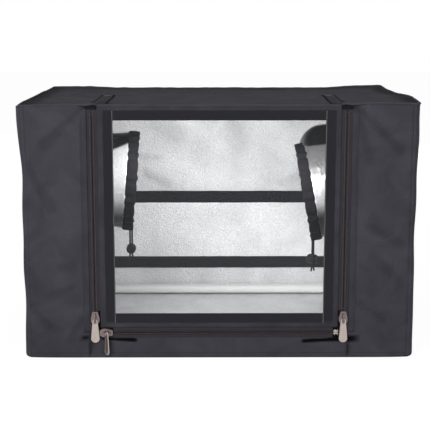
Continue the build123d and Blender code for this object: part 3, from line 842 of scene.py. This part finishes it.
def make_roof():
    us = spans((-half_x, -straight_x, straight_x, half_x), EDGE_STEP, GRID, EDGE_STEP)
    vs = spans((-half_y, -straight_y, straight_y, half_y), EDGE_STEP, GRID, EDGE_STEP)
    uv, faces = lattice(us, vs)
    x, y = rounded(uv[:, 0], uv[:, 1], 0)
    notch = (np.abs(x) < door_high.x + MM) & (y < front + 2.2 * MM)
    y = np.where(notch, front + 2.2 * MM, y)
    points = np.stack([x, y, np.full_like(x, height)], 1)
    rise, dark = roof_rise(points)
    points[:, 2] += rise
    # The roof's underside is black cloth rather than silver lining, as painted shade of the unlit roof inside.
    obj = build("roof_cloth", points, faces, [oxford, black_cloth_and_roof_shade], "tent", "tent_cloth", ["roof_panel"])
    set_shade_and_tone(obj, dark)
    thicken(obj, SKIN)


def make_piping():
    """Cord-filled edging round the roof, open along the door."""
    x_end, edge_x, edge_y = door_high.x + 0.3 * MM, half_x - CLOTH / 2, half_y - CLOTH / 2
    radius = EDGE_RADIUS - CLOTH / 2
    route = [(x, -edge_y) for x in steps(-x_end, -straight_x, GRID)]
    for cx, cy, begin in ((-1, -1, -90), (-1, 1, 180), (1, 1, 90), (1, -1, 0)):
        for angle in np.linspace(begin, begin - 90, 8):
            bend_x = cx * (edge_x - radius) + radius * cos(radians(angle))
            route.append((bend_x, cy * (edge_y - radius) + radius * sin(radians(angle))))
        if (cx, cy) == (-1, -1):
            route += [(-edge_x, y) for y in steps(-straight_y, straight_y, GRID)[1:-1]]
        if (cx, cy) == (-1, 1):
            route += [(x, edge_y) for x in steps(-straight_x, straight_x, GRID)[1:-1]]
        if (cx, cy) == (1, 1):
            route += [(edge_x, y) for y in steps(straight_y, -straight_y, GRID)[1:-1]]
    route += [(x, -edge_y) for x in steps(straight_x, x_end, GRID)[1:]]
    line = np.array([(x, y, hinge.z) for x, y in route])
    rise, _ = roof_rise(line)
    line[:, 2] += rise
    line[:, 2] -= 0.4 * MM * (1 + ripple(line[:, 0], line[:, 1], 21, (0.05, 0.02)))
    points, faces = tube(line, ROOF_PIPING, PIPING_SIDES)
    build("roof_piping", points, faces, [oxford], "tent", "tent_cloth")


def make_floor():
    inset = FOOT_RADIUS
    x_end, y_end = half_x - inset, half_y - inset
    us = spans((-x_end, -straight_x, straight_x, x_end), EDGE_STEP, 2 * GRID, EDGE_STEP)
    vs = spans((-y_end, -straight_y, straight_y, y_end), EDGE_STEP, 2 * GRID, EDGE_STEP)
    uv, faces = lattice(us, vs)
    x, y = rounded(uv[:, 0], uv[:, 1], inset)
    extra = foot_at(x * half_x / x_end, y * half_y / y_end) - inset
    x = x - np.sign(x) * extra * smooth((np.abs(x) - x_end) / (20 * MM) + 1)
    y = y - np.sign(y) * extra * smooth((np.abs(y) - y_end) / (20 * MM) + 1)
    points = np.stack([x, y, np.zeros_like(x)], 1)
    calm = smooth(np.minimum(x_end - np.abs(x), y_end - np.abs(y)) / (60 * MM))
    points[:, 2] += 0.5 * MM * calm * (1 + ripple(x, y, 31, (0.15, 0.08)))
    obj = build("floor_cloth", points, flipped(faces), [oxford, foil], "tent", "tent_cloth", ["floor_panel"])
    set_shade_and_tone(obj, np.zeros(len(points)))
    thicken(obj, SKIN)


# Door, window and tapes


def strip(start, end, outward, width, rise, seed, lift=None):
    """A soft-edged tape lying on a surface along a line: points and faces, underside included."""
    start, end, outward = (np.asarray(v, float) for v in (start, end, outward))
    length = np.linalg.norm(end - start)
    along = (end - start) / length
    across = np.cross(outward, along)
    profile = [(-0.5, 0.02), (-0.5, 0.6), (-0.48, 0.88), (-0.42, 1.0), (-0.2, 1.04), (0, 1.0),
               (0.2, 1.04), (0.42, 1.0), (0.48, 0.88), (0.5, 0.6), (0.5, 0.02)]
    runs = steps(0, length, 4 * MM)
    wobble = ripple(runs, np.zeros_like(runs), seed, (0.05, 0.02)) * 0.25 * MM
    puff = 1 + 0.12 * ripple(runs, np.zeros_like(runs), seed + 1, (0.03,))
    points = []
    for run, shift, swell in zip(runs, wobble, puff):
        for a, n in profile:
            spot = start + along * run + across * (a * width + shift)
            base = lift(spot) if lift is not None else 0
            points.append(spot + outward * (base + n * rise * swell))
    return np.array(points), flipped(skin(len(runs), len(profile)))


def tape_rows(boxes, outward, seed, lift=None):
    """Tapes for (start, end, width, rise) and their two rows of stitches each."""
    tapes, rows = [], []
    for number, (start, end, width, rise) in enumerate(boxes):
        tapes.append(strip(start, end, outward, width, rise, seed + 3 * number, lift))
        start, end = np.asarray(start, float), np.asarray(end, float)
        along = (end - start) / np.linalg.norm(end - start)
        across = np.cross(np.asarray(outward, float), along)
        for s in (-1, 1):
            shift = across * s * (width / 2 - STITCH_INSET) + np.asarray(outward) * rise
            rows += stitch_row(start + along * 2 * MM + shift, end - along * 2 * MM + shift, outward, lift)
    return tapes, rows


def make_door():
    us = spans((-door_high.x, -window_x, window_x, door_high.x), FINE_STEP, GRID, FINE_STEP)
    vs = spans((door_low.z, window_low, window_high, hinge.z), FINE_STEP, GRID, FINE_STEP)
    uv, faces = lattice(us, vs, keep=lambda u, v: abs(u) > window_x or not window_low < v < window_high)
    points = np.stack([uv[:, 0], np.full(len(uv), front), uv[:, 1]], 1)
    calm = smooth((hinge.z - uv[:, 1]) / (20 * MM))
    out = 0.3 * MM * ripple(uv[:, 0], uv[:, 1], 41, (0.06, 0.03)) * calm
    points[:, 1] -= np.minimum(out, 0.15 * MM)
    obj = build("door_cloth", points, faces, [oxford, foil], "door", "tent_cloth", ["door_panel"])
    # The door's cloth is drawn darker all over, with random changes of tone.
    set_shade_and_tone(obj, 0.26 + 0.08 * ripple(uv[:, 0], uv[:, 1], 19, (0.08, 0.04)))
    thicken(obj, SKIN)
    line = np.array([(x, hinge.y, hinge.z) for x in steps(-door_high.x, door_high.x, GRID)])
    line[:, 2] -= 0.25 * MM * (1 + ripple(line[:, 0], line[:, 2], 22, (0.05, 0.02)))
    points, faces = tube(line, PIPING_RADIUS, PIPING_SIDES)
    build("door_piping", points, faces, [oxford], "door", "tent_cloth")


def make_window():
    us, vs = steps(film_low.x, film_high.x, 2 * GRID), steps(film_low.z, film_high.z, 2 * GRID)
    uv, faces = lattice(us, vs)
    level = front + CLOTH + 0.25 * MM
    waves = 0.2 * MM * ripple(uv[:, 0], uv[:, 1], 51, (0.14, 0.07))
    points = np.stack([uv[:, 0], level + waves, uv[:, 1]], 1)
    film = build("window_sheet", points, faces, [clear_film], "door", "window_film", ["window_film"])
    thicken(film, 0.3 * MM, 0)
    tape_low, tape_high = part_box("window_tapes")
    width = tape_high.x - window_x
    rise = front - tape_low.y
    xs = (-window_x - width / 2, window_x + width / 2)
    boxes = [((x, front, tape_low.z), (x, front, tape_high.z), width, rise) for x in xs]
    for z in (tape_low.z + width / 2, tape_high.z - width / 2):
        boxes.append(((-window_x + 0.3 * MM, front, z), (window_x - 0.3 * MM, front, z), width, rise))
    tapes, rows = tape_rows(boxes, (0, -1, 0), 60)
    build("window_border", *merged(tapes), [pile], "door", "black_tape", ["window_tapes"])
    build("window_border_stitches", *merged(rows), [black_thread], "door", "black_tape")
    rows = []
    for s in (-1, 1):
        x = s * (window_x + 0.7 * MM)
        ends = [(x, front - rise, z) for z in (tape_low.z, tape_high.z)]
        rows += stitch_row(*ends, (0, -1, 0), width=0.9 * MM)
    build("window_edge_stitches", *merged(rows), [grey_thread], "door", "black_tape")


# Zips


def make_zip(name, node, body, origin, along, across, outward):
    """One zip half: its tape, its coil of turns and the thread that holds the coil."""
    origin, along, across, outward = (np.asarray(v, float) for v in (origin, along, across, outward))
    low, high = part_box(node)
    ends = sorted((np.array(low) @ along, np.array(high) @ along))
    start, end = ends[0] - origin @ along, ends[1] - origin @ along

    def spot(c, run, n):
        return origin + across * c + along * run + outward * n

    runs = steps(start, end, 4 * MM)
    profile = [(COIL_INNER, -1.05), (ZIP_TAPE, -1.05), (ZIP_TAPE, -1.55), (COIL_INNER, -1.55)]
    points = np.array([spot(c, run, n * MM) for run in runs for c, n in profile])
    faces = skin(len(runs), len(profile))
    if np.cross(across, along) @ outward < 0:
        faces = flipped(faces)
    build(f"{name}_tape", points, faces, [zip_cloth], body, "zip_tape", [node], smooth=False)
    turns, threads = [], []
    phase = 0.0 if body == "tent" else 0.5
    rise = COIL_HIGH - COIL_LOW
    for i in range(int((end - start) / COIL_PITCH - 1)):
        run = start + (i + 0.6 + phase) * COIL_PITCH
        ends = [spot(c, run, COIL_LOW) for c in (COIL_INNER, COIL_OUTER)]
        turns.append(bar(*ends, along, outward, COIL_WIDTH, rise))
        first, last = (spot(ZIP_THREAD, run + s * 0.9 * MM, COIL_HIGH - 0.1 * MM) for s in (-1, 1))
        threads.append(bar(first, last, across, outward, 0.6 * MM, 0.3 * MM))
    build(f"{name}_coil", *merged(turns), [coil_plastic], body, "zip_tape")
    thread = black_thread if name.startswith("lower") else red_thread
    build(f"{name}_thread", *merged(threads), [thread], body, "zip_tape")


def make_zips():
    out = (0, -1, 0)
    for side, sx in (("left", -1), ("right", 1)):
        origin = (sx * zip_x, front, 0)
        make_zip(f"{side}_outer_zip", f"zip_{side}_frame_half", "tent", origin, (0, 0, 1), (sx, 0, 0), out)
        make_zip(f"{side}_inner_zip", f"zip_{side}_door_half", "door", origin, (0, 0, 1), (-sx, 0, 0), out)
    origin = (0, front, zip_z)
    make_zip("lower_outer_zip", "zip_bottom_frame_half", "tent", origin, (1, 0, 0), (0, 0, -1), out)
    make_zip("lower_inner_zip", "zip_bottom_door_half", "door", origin, (1, 0, 0), (0, 0, 1), out)


def make_zip_stop():
    """Crimped metal stop of the lower zip: two prongs on a short back."""
    low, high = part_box("zip_stop")
    middle = (low + high) / 2
    along, up, out = np.array((1.0, 0, 0)), np.array((0, 0, 1.0)), np.array((0, -1.0, 0))
    parts = []
    for z in (middle.z - 1.9 * MM, middle.z + 1.9 * MM):
        ends = [np.array((x, front, z)) for x in (low.x, high.x)]
        parts.append(bar(*ends, up, out, 1.7 * MM, 1.2 * MM))
    for x in (low.x + 2.2 * MM, high.x - 2.2 * MM):
        foot, head = np.array((x, front, low.z)), np.array((x, front, high.z))
        parts.append(bar(foot, head, along, out, 1.3 * MM, 0.7 * MM))
    back = [np.array((middle.x, high.y - 0.2 * MM, z)) for z in (low.z + MM, high.z - MM)]
    parts.append(bar(*back, along, out, high.x - low.x - 2 * MM, high.y - front))
    build("zip_stop_crimp", *merged(parts), [nickel], "tent", "zip_metal", ["zip_stop"])


def make_hems():
    """Folded hems of the front panels beside the zips, with a row of stitches each."""
    hems, rows = [], []
    for sx in (-1, 1):
        x = sx * (zip_x + ZIP_EDGE + HEM_WIDTH / 2)
        zs = steps(zip_z, wall_top - 4 * MM, GRID)
        spine = np.stack([np.full_like(zs, x), np.full_like(zs, front), zs], 1)
        out, _ = relief(spine)
        profile = [(-0.5, -0.3), (-0.49, 0.8), (-0.45, 1), (0.45, 1), (0.49, 0.8), (0.5, -0.3)]
        points = np.array([(x + a * HEM_WIDTH, front - o - n * HEM_RISE, z)
                           for o, z in zip(out, zs) for a, n in profile])
        hems.append((points, skin(len(zs), len(profile))))
        row_x = sx * (zip_x + ZIP_EDGE + HEM_WIDTH - STITCH_INSET)
        rows += stitch_row((row_x, front, zip_z + MM), (row_x, front, wall_top - 6 * MM), (0, -1, 0), hem_lift)
    rows += stitch_row((-straight_x, front, 8.5 * MM), (straight_x, front, 8.5 * MM), (0, -1, 0), wall_lift, 0.8 * MM)
    seam_y = front + 4 * MM
    rows += stitch_row((-door_high.x, seam_y, height), (door_high.x, seam_y, height), (0, 0, 1), roof_lift, 1.1 * MM)
    obj = build("front_hems", *merged(hems), [facing], "tent", "tent_cloth")
    set_shade_and_tone(obj, np.zeros(len(obj.data.vertices)))
    build("front_hem_stitches", *merged(rows), [black_thread], "tent", "tent_cloth")


# Rear vent


def make_vent():
    low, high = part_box("vent_flap")
    tape_low, tape_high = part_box("vent_flap_tapes")
    us, vs = steps(low.x, high.x, GRID), steps(low.z, high.z, GRID)
    uv, faces = lattice(us, vs)

    def bulge(x, z):
        out, _ = relief(np.stack([x, np.full_like(x, half_y), z], 1))
        edge = smooth(np.minimum.reduce([x - low.x, high.x - x, z - low.z, high.z - z]) / (25 * MM))
        return np.maximum(-out, 0) + 0.4 * MM * edge

    def lift(spot):
        return bulge(spot[:1], spot[2:])[0]

    points = np.stack([uv[:, 0], low.y - bulge(uv[:, 0], uv[:, 1]), uv[:, 1]], 1)
    flap = build("vent_flap_cloth", points, faces, [foil, oxford], "vent_flap", "silver_cloth", ["vent_flap"])
    set_shade_and_tone(flap, np.zeros(len(points)))
    thicken(flap, SKIN)
    width, rise = 22 * MM, 0.9 * MM
    face = low.y + 0.1 * MM
    levels = (tape_low.z + width / 2, tape_high.z - width / 2)
    boxes = [((low.x, face, z), (high.x, face, z), width, rise) for z in levels]
    for s in (-1, 1):
        x = s * (high.x - width / 2)
        boxes.append(((x, face, low.z + width + 0.3 * MM), (x, face, high.z - width - 0.3 * MM), width, rise))
    tapes, rows = tape_rows(boxes, (0, -1, 0), 80, lift)
    build("vent_flap_border", *merged(tapes), [pile], "vent_flap", "black_tape", ["vent_flap_tapes"])
    build("vent_flap_stitches", *merged(rows), [black_thread], "vent_flap", "black_tape")


def make_net():
    low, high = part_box("vent_net")
    y = (low.y + high.y) / 2
    pitch = 4 * MM
    us, vs = steps(low.x, high.x, pitch), steps(low.z, high.z, pitch)
    uv, faces = lattice(us, vs)
    points = np.stack([uv[:, 0], np.full(len(uv), y), uv[:, 1]], 1)
    obj = build("vent_net_strands", points, flipped(faces), [net_material], "tent", "vent_net", ["vent_net"],
                smooth=False)
    wires = obj.modifiers.new("strands", "WIREFRAME")
    wires.thickness = 0.7 * MM
    settle(obj)
    out = half_y + 0.1 * MM
    width = 14 * MM
    boxes = [((low.x - width, out, z), (high.x + width, out, z), width, 0.8 * MM)
             for z in (low.z - 0.35 * width, high.z + 0.35 * width)]
    for s in (-1, 1):
        x = s * (high.x + 0.35 * width)
        boxes.append(((x, out, low.z + 0.2 * width), (x, out, high.z - 0.2 * width), width, 0.8 * MM))

    def lift(spot):
        return wall_lift((spot[0], half_y, spot[2]))

    tapes, rows = tape_rows(boxes, (0, 1, 0), 95, lift)
    build("vent_binding", *merged(tapes), [webbing], "tent", "black_tape")
    build("vent_binding_stitches", *merged(rows), [black_thread], "tent", "black_tape")


# Duct sleeves


def facet_radius(angle, corners):
    """Radius of a polygon with its corners at these angles on a unit circle."""
    radius = np.ones_like(angle)
    for begin, end in zip(corners, corners[1:] + [corners[0] + 2 * pi]):
        turn, half = (angle - begin) % (2 * pi), (end - begin) / 2
        radius = np.where(turn <= 2 * half, cos(half) / np.cos(turn - half), radius)
    return radius


SLEEVE_FACETS = {"left": (41, 100, 150, 200, 255, 305, 352), "right": (34, 72, 110, 160, 215, 270, 320, 358)}
# Crease above which a sleeve's top gets painted shade, where it faces the dark roof, and below which its side stays
# bright: its level at two distances from the middle.
SLEEVE_CREASES = {"left": ((176, 304), (149, 315)), "right": ((138, 307), (177, 313))}
MOUTH_TURN = 0.07
LOBE_SHARE = 0.3
LOBE_ANGLE = 35


def sleeve_frame(form, share):
    """Middle, up direction and inward direction of a sleeve at shares of its length."""
    sx = form["side"]
    tilt = radians(form["tilt"])
    inward = np.array((-sx * cos(tilt), 0, -sin(tilt)))
    start = np.array((sx * (half_x - CLOTH), 0, port_z))
    bend = start + np.array((-sx * form["straight"], 0, 0))
    mouth = np.array((sx * (half_x - CLOTH - form["reach"]), 0, port_z - form["drop"])) - inward * 8 * MM
    first = form["straight"] / (form["straight"] + np.linalg.norm(mouth - bend))
    late = np.clip((share - first) / (1 - first), 0, 1)[:, None]
    early = np.clip(share / first, 0, 1)[:, None]
    middle = start + (bend - start) * early + (mouth - bend) * late
    lean = tilt * smooth(late[:, 0])
    up = np.stack([-sx * np.sin(lean), np.zeros_like(lean), np.cos(lean)], 1)
    return middle, up, inward


def make_sleeve(side):
    form = SLEEVES[side]
    sx = form["side"]
    angles = np.arange(SLEEVE_SIDES) * 2 * pi / SLEEVE_SIDES
    shares = np.linspace(0, 1, SLEEVE_RINGS)
    share, angle = (v.ravel() for v in np.meshgrid(shares, angles, indexing="ij"))
    middle, up, _ = sleeve_frame(form, share)
    slack = np.sin(pi * np.clip(share, 0, 1) ** 1.2)
    corners = [radians(a) for a in SLEEVE_FACETS[side]]
    facet = facet_radius(angle, corners)
    folds = ripple(np.cos(angle) * 0.08, np.sin(angle) * 0.08 + share * 0.05, 70 + sx, (0.05, 0.03))
    radius = (port_radius + CLOTH) * (1 + 0.55 * slack * (facet - 1)) + 1.4 * MM * folds * slack
    radius -= 3.0 * MM * slack * smooth((share - 0.2) / 0.6)
    toward = np.stack([-sx * MOUTH_TURN * share, -np.ones_like(share), np.zeros_like(share)], 1)
    points = middle + radius[:, None] * (up * np.cos(angle)[:, None] + toward * np.sin(angle)[:, None])
    if form["lobe"]:
        (mouth_x, mouth_z), (wide, tall) = form["lobe"]
        turn = np.clip((1 - share) / LOBE_SHARE, 0, 1) * pi / 2
        lobe_x = np.where(share > 1 - LOBE_SHARE, mouth_x + wide * (1 - np.cos(turn)), points[:, 0])
        lobe_z = mouth_z + tall * np.sin(turn)
        aside = (angle + radians(LOBE_ANGLE) + pi) % (2 * pi) - pi
        window = smooth(1.2 - np.abs(aside) / radians(80)) * smooth(share / 0.3)
        top = middle[:, 2] + port_radius
        points[:, 0] += window * (lobe_x - points[:, 0]) * smooth((share - 1 + LOBE_SHARE) / 0.1)
        points[:, 2] += window * np.where(share > 0.95, lobe_z - top, np.maximum(lobe_z - top, 0))
    # Painted shade: the sleeve's top above the crease is dark, its side darker below the first shade level, and
    # darker above the second.
    (far, far_level), (near, near_level) = SLEEVE_CREASES[side]
    level = far_level + (np.abs(points[:, 0]) / MM - far) * (near_level - far_level) / (near - far)
    dark = smooth((points[:, 2] / MM - level) / 2.5 + 0.5) * smooth(share / 0.2)
    low, high = form["shade"]
    dark = np.maximum(dark, 0.96 * smooth((low - points[:, 2]) / (34 * MM)) ** 0.7)
    dark = np.maximum(dark, 0.8 * smooth((points[:, 2] - high) / (12 * MM)) * smooth(share / 0.2))
    faces = skin(SLEEVE_RINGS, SLEEVE_SIDES, caps=False)
    faces = flipped(faces) if sx > 0 else faces
    obj = build(f"sleeve_{side}_cloth", points, faces, [sleeve_foil, black_cloth_and_roof_shade], "tent", "silver_cloth",
                [f"sleeve_{side}"])
    set_shade_and_tone(obj, dark)
    thicken(obj, SLEEVE_SKIN)


def make_casing(side):
    """Puckered hem of a sleeve's mouth."""
    form = SLEEVES[side]
    sx = form["side"]
    middle, up, inward = sleeve_frame(form, np.array([1.0]))
    centre = middle[0] - inward * 1 * MM
    profile = []
    for k in range(14):
        turn = 2 * pi * k / 14
        w, t = cos(turn), sin(turn)
        profile.append((9 * MM * np.sign(w) * abs(w) ** 0.5, 1.9 * MM * np.sign(t) * abs(t) ** 0.7))
    count = 160
    points = []
    for i in range(count):
        angle = 2 * pi * i / count
        pucker = 0.6 * sin(25 * angle + sx) + 0.45 * sin(38 * angle) + 0.4 * sin(5 * angle + 1)
        radial = up[0] * cos(angle) + np.array((-sx * MOUTH_TURN, -1.0, 0)) * sin(angle)
        for w, t in profile:
            shift = inward * (w + 9 * MM + 1.1 * MM * pucker * (w > 0))
            radius = port_radius + 0.5 * MM + t * (1 + 0.3 * pucker) + 0.9 * MM * pucker
            points.append(centre + shift + radial * radius)
    faces = skin(count, len(profile), closed=True)
    faces = flipped(faces) if sx > 0 else faces
    build(f"sleeve_hem_{side}", points, faces, [hem_webbing], "tent", "black_tape", [f"sleeve_casing_{side}"])


def make_drawcord(side):
    """The two ends of a drawcord, which hang through the lock and splay below it."""
    form = SLEEVES[side]
    pair_low, pair_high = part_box(f"drawcord_{side}")
    turn = radians(form["turn"])
    across = Vector((cos(turn), sin(turn), 0))
    axis = Vector(((pair_low.x + pair_high.x) / 2, (pair_low.y + pair_high.y) / 2, pair_high.z))
    for name, s in (("a", -1), ("b", 1)):
        start = axis + across * (s * CORD_SPACING / 2)
        knee = start - Vector((0, 0, CORD_DROP))
        end = knee + across * (s * CORD_SPLAY) - Vector((0, 0, CORD_TAIL))
        straight = knee + Vector((0, 0, (end - knee).length))
        curve = bpy.data.curves.new(f"drawcord_{side}_{name}", "CURVE")
        curve.dimensions = "3D"
        curve.bevel_depth = CORD_DIAMETER / 2
        curve.bevel_resolution = 4
        curve.use_fill_caps = True
        spline = curve.splines.new("NURBS")
        route = (start, straight, knee, end)
        spline.points.add(len(route) - 1)
        for point, place in zip(spline.points, route):
            point.co = (*place, 1)
        spline.order_u = 3
        spline.use_endpoint_u = True
        curve.materials.append(cord_braid)
        obj = bpy.data.objects.new(f"drawcord_{side}_{name}", curve)
        bpy.context.scene.collection.objects.link(obj)
        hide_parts(f"drawcord_{side}")
        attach(obj, "tent")


# Straps, patches and CAD finishes


def make_straps():
    low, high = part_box("tie_straps")
    width = 20 * MM
    parts, rows, edge_shadows = [], [], []
    for s in (-1, 1):
        x = s * (high.x - width / 2)
        ys = steps(low.y, high.y, GRID)
        profile = [(-0.5, 0.1), (-0.5, 0.8), (-0.47, 1.1), (0, 1.2), (0.47, 1.1), (0.5, 0.8), (0.5, 0.1)]
        points = []
        for y in ys:
            spots = np.array([(x + a * width, y, height) for a, _ in profile])
            rise, _ = roof_rise(spots)
            for spot, up, (a, n) in zip(spots, rise, profile):
                points.append(spot + np.array((0.8 * MM * sin(y * 23 + s), 0, up + n * MM)))
        parts.append((np.array(points), skin(len(ys), len(profile))))
        # Near-black tubes along both edges of each strap: painted shadow where the strap lies on the roof.
        for edge in (-1, 1):
            line = np.array([(x + edge * width / 2 + 0.8 * MM * sin(y * 23 + s), y, height) for y in ys])
            line[:, 2] += roof_rise(line)[0] + 0.5 * MM
            edge_shadows.append(tube(line, 1.3 * MM, 6))

        def lift(spot):
            return roof_lift(spot) + 1.15 * MM

        for begin, end in ((-14, -14), (-2, -2), (-14, -2), (-2, -14)):
            first = (x - 7 * MM, high.y + begin * MM, height)
            last = (x + 7 * MM, high.y + end * MM, height)
            rows += stitch_row(first, last, (0, 0, 1), lift)
    build("tie_strap_webbing", *merged(parts), [strap_webbing], "tent", "black_tape", ["tie_straps"])
    build("tie_strap_edges", *merged(edge_shadows), [edge_cloth], "tent", "black_tape")
    build("tie_strap_stitches", *merged(rows), [grey_thread], "tent", "black_tape")


def make_zip_flaps():
    """Draught flaps of dark cloth behind the three zips."""
    parts = []
    half, depth, shallow = 8 * MM, 5.3 * MM, 2.4 * MM
    for sx in (-1, 1):
        us, vs = steps(zip_x - half, zip_x + half, 4 * MM), steps(24 * MM, height + 2.4 * MM, 3 * MM)
        uv, faces = lattice(us, vs)
        forward = smooth((uv[:, 1] - (wall_top - 12 * MM)) / (4 * MM))
        y = front + depth + (shallow - depth) * forward
        parts.append((np.stack([sx * uv[:, 0], y, uv[:, 1]], 1), faces if sx > 0 else flipped(faces)))
    us, vs = steps(half - zip_x, zip_x - half, GRID), steps(zip_z - 1.2 * half, zip_z + 1.2 * half, 4 * MM)
    uv, faces = lattice(us, vs)
    parts.append((np.stack([uv[:, 0], np.full(len(uv), front + depth), uv[:, 1]], 1), faces))
    obj = build("zip_flaps", *merged(parts), [black_cloth_and_roof_shade, black_cloth_and_roof_shade], "tent", "tent_cloth")
    set_shade_and_tone(obj, np.zeros(len(obj.data.vertices)))
    thicken(obj, 0.4 * MM)


def make_port_rings():
    """Binding round the duct ports on the outside."""
    for side, sx in (("left", -1), ("right", 1)):
        count = 96
        profile = [(-5, -0.3), (-5, 0.7), (-4, 1.1), (4, 1.1), (5, 0.7), (5, -0.3)]
        points = []
        for i in range(count):
            angle = 2 * pi * i / count
            for r, n in profile:
                radius = port_radius + (r + 5) * MM
                spot = np.array([(sx * half_x, radius * sin(angle), port_z + radius * cos(angle))])
                out, _ = relief(spot)
                points.append(spot[0] + np.array((sx * (out[0] + n * MM), 0, 0)))
        faces = skin(count, len(profile), closed=True)
        build(f"port_ring_{side}", points, faces if sx < 0 else flipped(faces), [webbing], "tent", "black_tape")


FINISHES = {
    "tube_paint": white_paint,
    "corner_plastic": black_plastic,
    "zip_metal": nickel,
    "lock_plastic": black_plastic,
    "spring_steel": bright_wire,
}


def finish_cad_nodes():
    for row in frame["record"]["subparts"]:
        finish = dark_nickel if row["node"].startswith("slider") else FINISHES.get(row["material_slot"])
        if finish:
            mesh = frame["nodes"][row["node"]].data
            mesh.materials.clear()
            mesh.materials.append(finish)


# Stage


def make_stage():
    """Pale floor, white where the camera sees it, that keeps the shadow."""
    mesh = bpy.data.meshes.new("studio_floor")
    corners = [(x * FLOOR_SIZE, y * FLOOR_SIZE, 0) for x, y in ((-1, -1), (1, -1), (1, 1), (-1, 1))]
    mesh.from_pydata(corners, [], [(0, 1, 2, 3)])
    floor = bpy.data.objects.new("studio_floor", mesh)
    floor.location.z = -0.2 * MM
    bpy.context.scene.collection.objects.link(floor)
    material = new_material("studio_floor", FLOOR_GREY, 0.9, Specular_IOR_Level=0.0)
    nodes, links = material.node_tree.nodes, material.node_tree.links
    rays = add_node(material, "ShaderNodeLightPath").outputs
    seen = total(material, rays["Is Camera Ray"], rays["Is Glossy Ray"], "MAXIMUM")
    share = total(material, seen, FLOOR_GLOW_SHARE, "MULTIPLY")
    glow = add_node(material, "ShaderNodeEmission", {"Strength": FLOOR_GLOW}).outputs[0]
    shader = nodes["Principled BSDF"].outputs[0]
    blend = add_node(material, "ShaderNodeMixShader", {0: share, 1: shader, 2: glow})
    links.new(blend.outputs[0], nodes["Material Output"].inputs["Surface"])
    mesh.materials.append(material)


def make_world():
    """Even light, and plain white to the camera, in gloss and through the film."""
    world = bpy.data.worlds.new("studio")
    bpy.context.scene.world = world
    world.use_nodes = True
    shade = world.node_tree.nodes["Background"]
    shade.inputs["Color"].default_value = (1, 1, 1, 1)
    rays = add_node(world, "ShaderNodeLightPath").outputs
    seen = total(world, rays["Is Camera Ray"], rays["Is Glossy Ray"], "MAXIMUM")
    seen = total(world, seen, rays["Is Transmission Ray"], "MAXIMUM")
    world.node_tree.links.new(spread(world, seen, AMBIENT, 1.0), shade.inputs["Strength"])


def make_softbox(name, place, target, size, power):
    light = bpy.data.lights.new(name, "AREA")
    light.shape = "RECTANGLE"
    light.size, light.size_y = size
    light.energy = power
    obj = bpy.data.objects.new(name, light)
    obj.location = place
    obj.rotation_euler = (Vector(target) - Vector(place)).to_track_quat("-Z", "Y").to_euler()
    bpy.context.scene.collection.objects.link(obj)


def make_camera():
    camera = bpy.data.cameras.new("camera")
    camera.lens = CAMERA_LENS
    camera.sensor_width = CAMERA_SENSOR
    camera.sensor_fit = "HORIZONTAL"
    obj = bpy.data.objects.new("camera", camera)
    obj.location = CAMERA_PLACE
    obj.rotation_euler = (radians(90 - CAMERA_PITCH), 0, radians(-CAMERA_YAW))
    bpy.context.scene.collection.objects.link(obj)
    bpy.context.scene.camera = obj


make_camera()
for side in SLEEVES:
    make_drawcord(side)
for side, sx in (("left", -1), ("right", 1)):
    make_side_wall(side, sx)
    make_front_panel(side, sx)
make_sill()
make_back_wall()
make_roof()
make_piping()
make_floor()
make_door()
make_window()
make_zips()
make_zip_stop()
make_hems()
make_vent()
make_net()
for side in SLEEVES:
    make_sleeve(side)
    make_casing(side)
make_straps()
make_zip_flaps()
make_port_rings()
finish_cad_nodes()
make_stage()
make_world()
for name, lamp in LAMPS.items():
    make_softbox(name, *lamp)
bpy.context.scene.view_settings.view_transform = "Standard"
